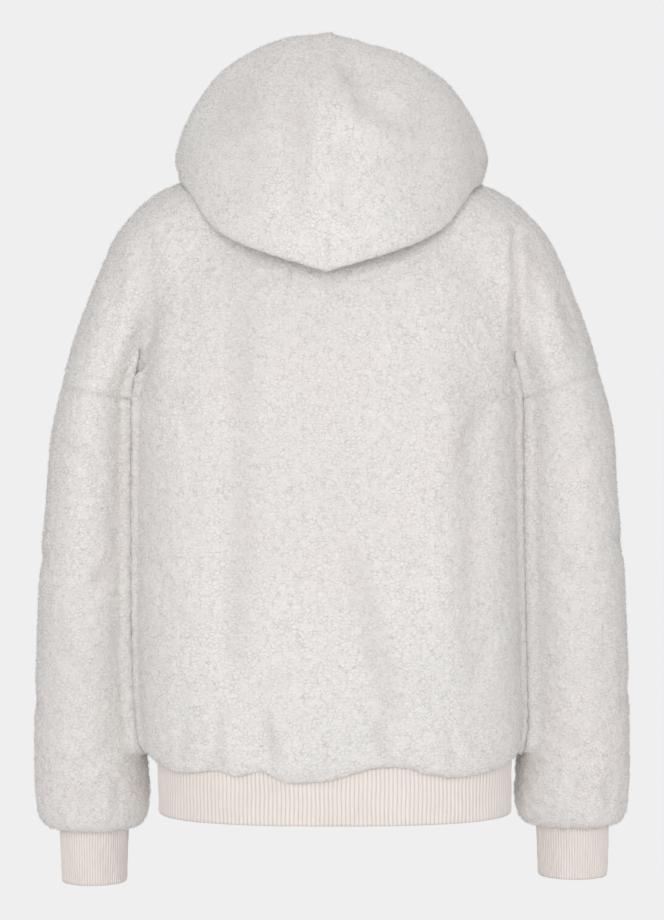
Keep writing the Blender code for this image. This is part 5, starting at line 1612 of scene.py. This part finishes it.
def node(tree, kind, **settings):
    """A shader node; settings name its properties, or its inputs where they hold numbers."""
    made = tree.nodes.new(kind)
    for key, value in settings.items():
        if key in made.inputs:
            made.inputs[key].default_value = value
        else:
            setattr(made, key, value)
    return made


def new_material(name, roughness, metallic=0.0, sheen=0.0):
    """A material with its node tree, its shader and the place on the object."""
    made = bpy.data.materials.new(name)
    made.use_nodes = True
    tree = made.node_tree
    shader = tree.nodes["Principled BSDF"]
    shader.inputs["Roughness"].default_value = roughness
    shader.inputs["Metallic"].default_value = metallic
    shader.inputs["Sheen Weight"].default_value = sheen
    shader.inputs["Sheen Roughness"].default_value = 0.6
    shader.inputs["Specular IOR Level"].default_value = 0.5 if metallic else 0.18
    where = tree.nodes.new("ShaderNodeTexCoord").outputs["Object"]
    return made, tree, shader, where


def noise_at(tree, where, scale, detail=2.0):
    made = node(tree, "ShaderNodeTexNoise", Scale=scale, Detail=detail)
    tree.links.new(where, made.inputs["Vector"])
    return made.outputs["Fac"]


def ramp(tree, value, low, high):
    """The value stretched so that low becomes 0 and high becomes 1."""
    made = node(tree, "ShaderNodeMapRange")
    made.inputs["From Min"].default_value = low
    made.inputs["From Max"].default_value = high
    tree.links.new(value, made.inputs["Value"])
    return made.outputs["Result"]


def mixed(tree, share, first, second):
    """A colour between two, each a colour or the output of a node."""
    made = tree.nodes.new("ShaderNodeMix")
    made.data_type = "RGBA"
    tree.links.new(share, made.inputs[0])
    for socket, colour in ((made.inputs[6], first), (made.inputs[7], second)):
        if isinstance(colour, bpy.types.NodeSocket):
            tree.links.new(colour, socket)
        else:
            socket.default_value = (*colour[:3], 1.0)
    return made.outputs[2]


def bump(tree, shader, height, distance, strength, below=None):
    made = node(tree, "ShaderNodeBump", Distance=distance, Strength=strength)
    tree.links.new(height, made.inputs["Height"])
    if below:
        tree.links.new(below, made.inputs["Normal"])
    tree.links.new(made.outputs["Normal"], shader.inputs["Normal"])
    return made.outputs["Normal"]


def darker(colour, share):
    return tuple(channel * share for channel in colour[:3])


def warped(tree, where, scale, amount):
    """The place on the object, pushed about by noise so that a pattern on it is uneven."""
    push = node(tree, "ShaderNodeTexNoise", Scale=scale, Detail=1.0)
    tree.links.new(where, push.inputs["Vector"])
    centred = node(tree, "ShaderNodeVectorMath", operation="SUBTRACT")
    centred.inputs[1].default_value = (0.5, 0.5, 0.5)
    tree.links.new(push.outputs["Color"], centred.inputs[0])
    moved = node(tree, "ShaderNodeVectorMath", operation="MULTIPLY_ADD")
    moved.inputs[1].default_value = (amount, amount, amount)
    tree.links.new(centred.outputs[0], moved.inputs[0])
    tree.links.new(where, moved.inputs[2])
    return moved.outputs[0]


def cells(tree, where, size, feature="DISTANCE_TO_EDGE"):
    """Distance from the edges, or the middles, of cells of about this size in metres."""
    made = node(tree, "ShaderNodeTexVoronoi", feature=feature, Scale=1 / size)
    tree.links.new(where, made.inputs["Vector"])
    return made.outputs["Distance"]


def product(tree, first, second):
    made = node(tree, "ShaderNodeMath", operation="MULTIPLY")
    tree.links.new(first, made.inputs[0])
    tree.links.new(second, made.inputs[1])
    return made.outputs[0]


def fleece_material(settings):
    """Cream pile with faint pink and grey patches; shade is painted into the thin cracks between
    its curls, the hollows between its curls, its creases and along its seams.
    """
    made, tree, shader, where = new_material("fleece", 0.95, sheen=settings.sheen)
    curl = node(tree, "ShaderNodeAttribute", attribute_name="curl").outputs["Fac"]
    fold = node(tree, "ShaderNodeAttribute", attribute_name="fold").outputs["Fac"]
    patches = ramp(tree, noise_at(tree, where, 5.5), 0.42, 0.70)
    base = mixed(tree, patches, settings.colour, settings.tint_and_painted_shade)
    shade = ramp(tree, noise_at(tree, where, 7.0, 1.0), 0.45, 0.90)
    base = mixed(tree, shade, base, settings.grey)
    # Painted shade in the creases and along the seams, from the fold mark, in the darkened tint.
    base = mixed(tree, ramp(tree, fold, 0.05, 1.1), base, darker(settings.tint_and_painted_shade, 0.88))
    flat = node(tree, "ShaderNodeVectorMath", operation="MULTIPLY")
    tree.links.new(where, flat.inputs[0])
    flat.inputs[1].default_value = CURL_STRETCH
    curly = warped(tree, flat.outputs["Vector"], 300.0, 0.0040)
    edge = cells(tree, curly, settings.curl_size)
    shown = ramp(tree, noise_at(tree, where, 150.0), 0.30, 0.58)
    # Painted shade in the thin cracks between the curls, where the noise shows them.
    crack = product(tree, ramp(tree, edge, 0.11, 0.02), shown)
    base = mixed(tree, crack, base, darker(settings.colour, settings.crack_shade))
    # Painted shade in the hollows between the curls of the solid surface, from the curl mark.
    low = ramp(tree, curl, 0.50, 0.0)
    base = mixed(tree, low, base, darker(settings.colour, 0.93))
    tree.links.new(base, shader.inputs["Base Color"])
    lower = bump(tree, shader, ramp(tree, edge, 0.0, 0.32), 0.0011, 0.42)
    loops = cells(tree, curly, 0.0024, "F1")
    lower = bump(tree, shader, ramp(tree, loops, 0.9, 0.1), 0.0006, 0.40, lower)
    bump(tree, shader, noise_at(tree, where, 900.0, 3.0), 0.0006, 0.60, lower)
    return made


def rib_material(settings):
    """Ribbed knit: small stitches in rows along each rib, and shade painted into the grooves
    between the ribs.
    """
    made, tree, shader, where = new_material("rib_knit", 0.88, sheen=0.12)
    patches = ramp(tree, noise_at(tree, where, 30.0), 0.35, 0.7)
    base = mixed(tree, patches, settings.rib_colour, darker(settings.rib_colour, 0.96))
    ridge = node(tree, "ShaderNodeAttribute", attribute_name="ridge").outputs["Fac"]
    # Painted shade in the grooves between the ribs, from the ridge mark.
    base = mixed(tree, ramp(tree, ridge, 0.80, 0.15), base, darker(settings.rib_colour, 0.70))
    tree.links.new(base, shader.inputs["Base Color"])
    rows = node(
        tree, "ShaderNodeTexWave", bands_direction="Z", Scale=STITCH_ROWS, Distortion=1.6
    )
    rows.inputs["Detail Scale"].default_value = 3.0
    tree.links.new(where, rows.inputs["Vector"])
    lower = bump(tree, shader, rows.outputs["Fac"], 0.00012, 0.3)
    bump(tree, shader, noise_at(tree, where, 1500.0), 0.0003, 0.45, lower)
    return made


def tape_material(settings):
    """Woven zip tape: a fine twill."""
    made, tree, shader, where = new_material("zip_tape", 0.85)
    weave = node(tree, "ShaderNodeTexWave", bands_direction="DIAGONAL", Scale=190.0)
    tree.links.new(where, weave.inputs["Vector"])
    base = mixed(
        tree, weave.outputs["Fac"], darker(settings.tape_colour, 0.86), settings.tape_colour
    )
    tree.links.new(base, shader.inputs["Base Color"])
    bump(tree, shader, weave.outputs["Fac"], 0.0003, 0.6)
    return made


def metal_material(settings):
    """Brushed nickel, slightly worn on its faces."""
    made, tree, shader, where = new_material("zip_metal", 0.32, metallic=1.0)
    worn = ramp(tree, noise_at(tree, where, 260.0, 4.0), 0.35, 0.75)
    base = mixed(tree, worn, settings.metal_colour, darker(settings.metal_colour, 0.72))
    tree.links.new(base, shader.inputs["Base Color"])
    rough = node(tree, "ShaderNodeMapRange")
    rough.inputs["To Min"].default_value = 0.24
    rough.inputs["To Max"].default_value = 0.44
    tree.links.new(worn, rough.inputs["Value"])
    tree.links.new(rough.outputs["Result"], shader.inputs["Roughness"])
    bump(tree, shader, noise_at(tree, where, 1800.0), 0.0001, 0.3)
    return made


def material_of(name):
    """A finish of the garment, made the first time that it is asked for."""
    makers = {
        "fleece": (fleece_material, "hoodie_fleece"),
        "rib_knit": (rib_material, "hoodie_knit"),
        "zip_tape": (tape_material, "hoodie_zip"),
        "zip_metal": (metal_material, "hoodie_zip"),
    }
    if name not in made_finishes:
        maker, group = makers[name]
        made_finishes[name] = maker(getattr(bpy.context.scene, group))
    return made_finishes[name]


made_finishes = {}


def colour_setting(name, description, default):
    return bpy.props.FloatVectorProperty(
        name=name, description=description, default=default, subtype="COLOR", min=0, max=1, size=3
    )


def length_setting(name, description, default, low, high):
    return bpy.props.FloatProperty(
        name=name,
        description=description,
        default=default,
        min=low,
        max=high,
        unit="LENGTH",
        subtype="DISTANCE",
        precision=5,
    )


def share_setting(name, description, default):
    return bpy.props.FloatProperty(
        name=name, description=description, default=default, min=0, max=1, subtype="FACTOR"
    )


class FleeceSettings(bpy.types.PropertyGroup):
    """Sizes and colours of the pile."""

    colour: colour_setting("Colour", "Main colour of the fleece", (0.820, 0.797, 0.775))
    # Colour of the warm patches; darkened, it is also the painted shade in creases and along seams.
    tint_and_painted_shade: colour_setting("Tint", "Colour of its faint warm patches", (0.820, 0.765, 0.757))
    grey: colour_setting("Shade", "Colour of its faint cool patches", (0.755, 0.735, 0.718))
    # How dark the shade painted into the cracks between curls is.
    crack_shade: share_setting(
        "Between curls", "Brightness of the pile between its curls, of the main colour's", 0.73
    )
    sheen: share_setting("Sheen", "Soft light that the pile's ends catch", 0.25)
    curl_size: length_setting(
        "Curl size", "From one curl of the pile to the next", 0.0050, 0.001, 0.03
    )
    curl_depth: length_setting(
        "Curl depth", "From the top of a clump of curls to the crack beside it", 0.0019, 0, 0.006
    )
    seam_sink: length_setting(
        "Seam depth", "How far the cloth sinks in at a sewn edge", 0.0009, 0, 0.004
    )
    pile_density: bpy.props.FloatProperty(
        name="Loose ends",
        description="Loose ends of the pile on a square metre",
        default=250000.0,
        min=0,
        max=300000,
    )
    pile_length: length_setting(
        "Length of loose ends", "How far the loose ends of the pile stand out",
        0.0028, 0.0005, 0.008
    )
    pile_lean: bpy.props.FloatProperty(
        name="Lean of loose ends",
        description="How far the loose ends of the pile lean aside, as a share of their length",
        default=0.45,
        min=0,
        max=2,
    )


class KnitSettings(bpy.types.PropertyGroup):
    """Colour of the ribbed hem and cuffs."""

    rib_colour: colour_setting("Colour", "Colour of the ribbed knit", (0.82, 0.755, 0.715))


class ZipSettings(bpy.types.PropertyGroup):
    """Colours of the zip and how rounded its metal is."""

    tape_colour: colour_setting("Tape", "Colour of the zip's tape", (0.74, 0.69, 0.63))
    metal_colour: colour_setting("Metal", "Colour of the zip's metal", (0.66, 0.65, 0.63))
    edge: length_setting(
        "Rounded edge", "How far the edges of the slider, pull and box are rounded",
        0.00028, 0, 0.0005
    )


class StageSettings(bpy.types.PropertyGroup):
    """Floor, background and light."""

    background: colour_setting("Background", "Colour behind the garment", (0.863, 0.863, 0.863))
    ambient: bpy.props.FloatProperty(
        name="Ambient", description="Light from all around", default=0.45, min=0, max=2
    )
    front_light: bpy.props.FloatProperty(
        name="Main light",
        description="Power of the large light beside the camera",
        default=51.5,
        min=0,
        unit="POWER",
    )
    floor_z: bpy.props.FloatProperty(
        name="Floor",
        description="Height of the floor under the garment",
        default=-1.40,
        unit="LENGTH",
        subtype="DISTANCE",
    )


class BodyOperator(bpy.types.Operator):
    """Makes the back, the two fronts and the sleeves in fleece"""

    bl_idname = "hoodie.body"
    bl_label = "Back, fronts and sleeves"

    def execute(self, context):
        settings = context.scene.hoodie_fleece
        finish = material_of("fleece")
        left, right = bodies()
        cloths = {
            "back": (back_cloth(left, right), ("back",)),
            "front_left": (front_cloth(left), ("front",)),
            "front_right": (front_cloth(right), ("front",)),
            "sleeve_left": (sleeve_cloth(left), ("back", "front", "left")),
            "sleeve_right": (sleeve_cloth(right), ("back", "front", "right")),
        }
        surfaces = {name: cloth.surface() for name, (cloth, _) in cloths.items()}
        for name, (cloth, views) in cloths.items():
            creases = [c for c in CREASES if c.view in views and c.piece in name]
            beside = list(surfaces.values())
            piece = dress(f"{name}_fleece", cloth, finish, settings, creases, beside=beside)
            finish_sheet(piece, name)
        return {"FINISHED"}


class HoodOperator(bpy.types.Operator):
    """Makes the two halves of the hood in fleece"""

    bl_idname = "hoodie.hood"
    bl_label = "Hood"

    def execute(self, context):
        settings = context.scene.hoodie_fleece
        finish = material_of("fleece")
        for body in bodies():
            name = f"hood_{body.side.name}"
            cloth = sheet_cloth(*hood_grids(body), body.side)
            creases = [c for c in CREASES if c.piece == "hood" and c.at * body.side.sign > -0.03]
            piece = dress(
                f"{name}_fleece", cloth, finish, settings, creases, sink=0.0, depth=HOOD_CURLS
            )
            finish_sheet(piece, name)
        return {"FINISHED"}


class RibOperator(bpy.types.Operator):
    """Makes the ribbed hem and cuffs"""

    bl_idname = "hoodie.ribs"
    bl_label = "Ribbed hem and cuffs"

    def execute(self, context):
        knit = material_of("rib_knit")
        length = 4 * 1.11 * math.hypot(HEM_WIDTH, (HEM_BACK + HEM_FRONT) / 2) / math.sqrt(2)
        ribs = round(length / RIB_PITCH / 4) * 4
        hem = band_cloth(hem_line, HEM_TOP_Z, HEM_BOTTOM_Z, ribs, False)
        finish_sheet(plain_piece("hem_knit", hem, knit), "hem_rib")
        for side in SIDES:
            ribs = round(2 * math.pi * side.cuff_width / RIB_PITCH / 4) * 4
            top = side.sleeve_end + CUFF_OVERLAP
            cuff = band_cloth(cuff_line(side), top, side.cuff_bottom, ribs, True)
            finish_sheet(plain_piece(f"cuff_knit_{side.name}", cuff, knit), f"cuff_{side.name}")
        return {"FINISHED"}


class ZipOperator(bpy.types.Operator):
    """Makes the zip's tapes, teeth, slider, pull and box"""

    bl_idname = "hoodie.zip"
    bl_label = "Zip"

    def execute(self, context):
        tape, metal = material_of("zip_tape"), material_of("zip_metal")
        edge = context.scene.hoodie_zip.edge
        left, right = bodies()
        for body in (left, right):
            finish_sheet(tape_piece(body, tape), f"zip_tape_{body.side.name}")
        chain = solid_piece("zip_teeth", *teeth(chain_line(left, right)), metal)
        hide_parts("zip_chain")
        for name, node_name, body in (
            ("slider_body", "zip_slider", BODY),
            ("end_box", "zip_box", BODY),
            ("pull_metal", "zip_pull", PULL_BODY),
        ):
            piece = softened(name, node_name, edge, metal, body)
            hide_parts(node_name)
        return {"FINISHED"}


class StageOperator(bpy.types.Operator):
    """Makes the floor, the light and the camera"""

    bl_idname = "hoodie.stage"
    bl_label = "Floor, light and camera"

    def execute(self, context):
        settings = context.scene.hoodie_stage
        scene = context.scene
        camera = bpy.data.objects.new("camera", bpy.data.cameras.new("camera"))
        camera.location = CAMERA_PLACE
        camera.rotation_euler = (math.radians(90), 0, math.radians(180))
        camera.data.sensor_fit = "AUTO"
        camera.data.sensor_width = SENSOR
        camera.data.lens = SENSOR * FOCAL_PIXELS / PHOTO_HEIGHT
        scene.collection.objects.link(camera)
        scene.camera = camera
        scene.view_settings.view_transform = "Standard"
        world = bpy.data.worlds.new("studio")
        scene.world = world
        world.use_nodes = True
        tree = world.node_tree
        seen = tree.nodes["Background"]
        seen.inputs["Color"].default_value = (*settings.background, 1)
        around = node(tree, "ShaderNodeBackground", Strength=settings.ambient)
        around.inputs["Color"].default_value = (1.0, 0.995, 0.985, 1)
        chosen = tree.nodes.new("ShaderNodeMixShader")
        ray = tree.nodes.new("ShaderNodeLightPath")
        tree.links.new(ray.outputs["Is Camera Ray"], chosen.inputs[0])
        tree.links.new(around.outputs[0], chosen.inputs[1])
        tree.links.new(seen.outputs[0], chosen.inputs[2])
        tree.links.new(chosen.outputs[0], tree.nodes["World Output"].inputs["Surface"])
        for light in LIGHTS:
            add_light(light, settings.front_light)
        add_floor(settings.floor_z)
        return {"FINISHED"}


def add_light(light, power):
    """A large soft light that faces the garment."""
    lamp = bpy.data.lights.new(light.name, "AREA")
    lamp.shape = "DISK"
    lamp.size = light.size
    lamp.energy = power * light.share
    held = bpy.data.objects.new(light.name, lamp)
    held.location = (light.x, light.y, light.z)
    towards = Vector((0, 0, GARMENT_MIDDLE_Z)) - held.location
    held.rotation_euler = towards.to_track_quat("-Z", "Y").to_euler()
    bpy.context.scene.collection.objects.link(held)


def add_floor(height):
    mesh = bpy.data.meshes.new("floor")
    turns = np.linspace(0, 2 * math.pi, 97)[:-1]
    points = [(FLOOR_RADIUS * math.cos(a), FLOOR_RADIUS * math.sin(a), height) for a in turns]
    mesh.from_pydata(points, [], [list(range(len(points)))])
    floor = bpy.data.objects.new("floor", mesh)
    bpy.context.scene.collection.objects.link(floor)
    made, tree, shader, where = new_material("floor", 0.7)
    base = mixed(tree, noise_at(tree, where, 3.0), (0.80, 0.80, 0.80), (0.84, 0.84, 0.84))
    tree.links.new(base, shader.inputs["Base Color"])
    mesh.materials.append(made)
    floor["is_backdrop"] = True


def sleeve_cloth(body):
    return tube_cloth(*body.sleeve_grids(), body.side)


def finish_sheet(piece, node_name):
    """Hides the solid that a piece of cloth stands for."""
    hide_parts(node_name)


def bodies():
    """Both sides of the garment, worked out once."""
    if not worked_out:
        worked_out.extend(Body(side) for side in SIDES)
    return worked_out


worked_out = []


class HOODIE_PT_pieces(bpy.types.Panel):
    """Lists the steps that dress the garment, and their settings"""

    bl_label = "Zip-up hoodie"
    bl_space_type = "VIEW_3D"
    bl_region_type = "UI"
    bl_category = "Hoodie"

    def draw(self, context):
        for operator, group in STEPS:
            box = self.layout.box()
            box.operator(operator.bl_idname)
            settings = getattr(context.scene, group)
            for key in settings.bl_rna.properties.keys():
                if key not in ("rna_type", "name"):
                    box.prop(settings, key)


STEPS = (
    (BodyOperator, "hoodie_fleece"),
    (HoodOperator, "hoodie_fleece"),
    (RibOperator, "hoodie_knit"),
    (ZipOperator, "hoodie_zip"),
    (StageOperator, "hoodie_stage"),
)
GROUPS = {
    "hoodie_fleece": FleeceSettings,
    "hoodie_knit": KnitSettings,
    "hoodie_zip": ZipSettings,
    "hoodie_stage": StageSettings,
}


def register():
    for group, kind in GROUPS.items():
        bpy.utils.register_class(kind)
        setattr(bpy.types.Scene, group, bpy.props.PointerProperty(type=kind))
    for operator, _ in STEPS:
        bpy.utils.register_class(operator)
    bpy.utils.register_class(HOODIE_PT_pieces)


def unregister():
    bpy.utils.unregister_class(HOODIE_PT_pieces)
    for operator, _ in reversed(STEPS):
        bpy.utils.unregister_class(operator)
    for group, kind in GROUPS.items():
        delattr(bpy.types.Scene, group)
        bpy.utils.unregister_class(kind)


def main():
    register()
    for operator, _ in STEPS:
        family, name = operator.bl_idname.split(".")
        getattr(getattr(bpy.ops, family), name)()
    plain = [[[float(v) for v in corner] for corner in box] for box in (CAD_BOX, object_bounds())]


if __name__ == "__main__":
    main()
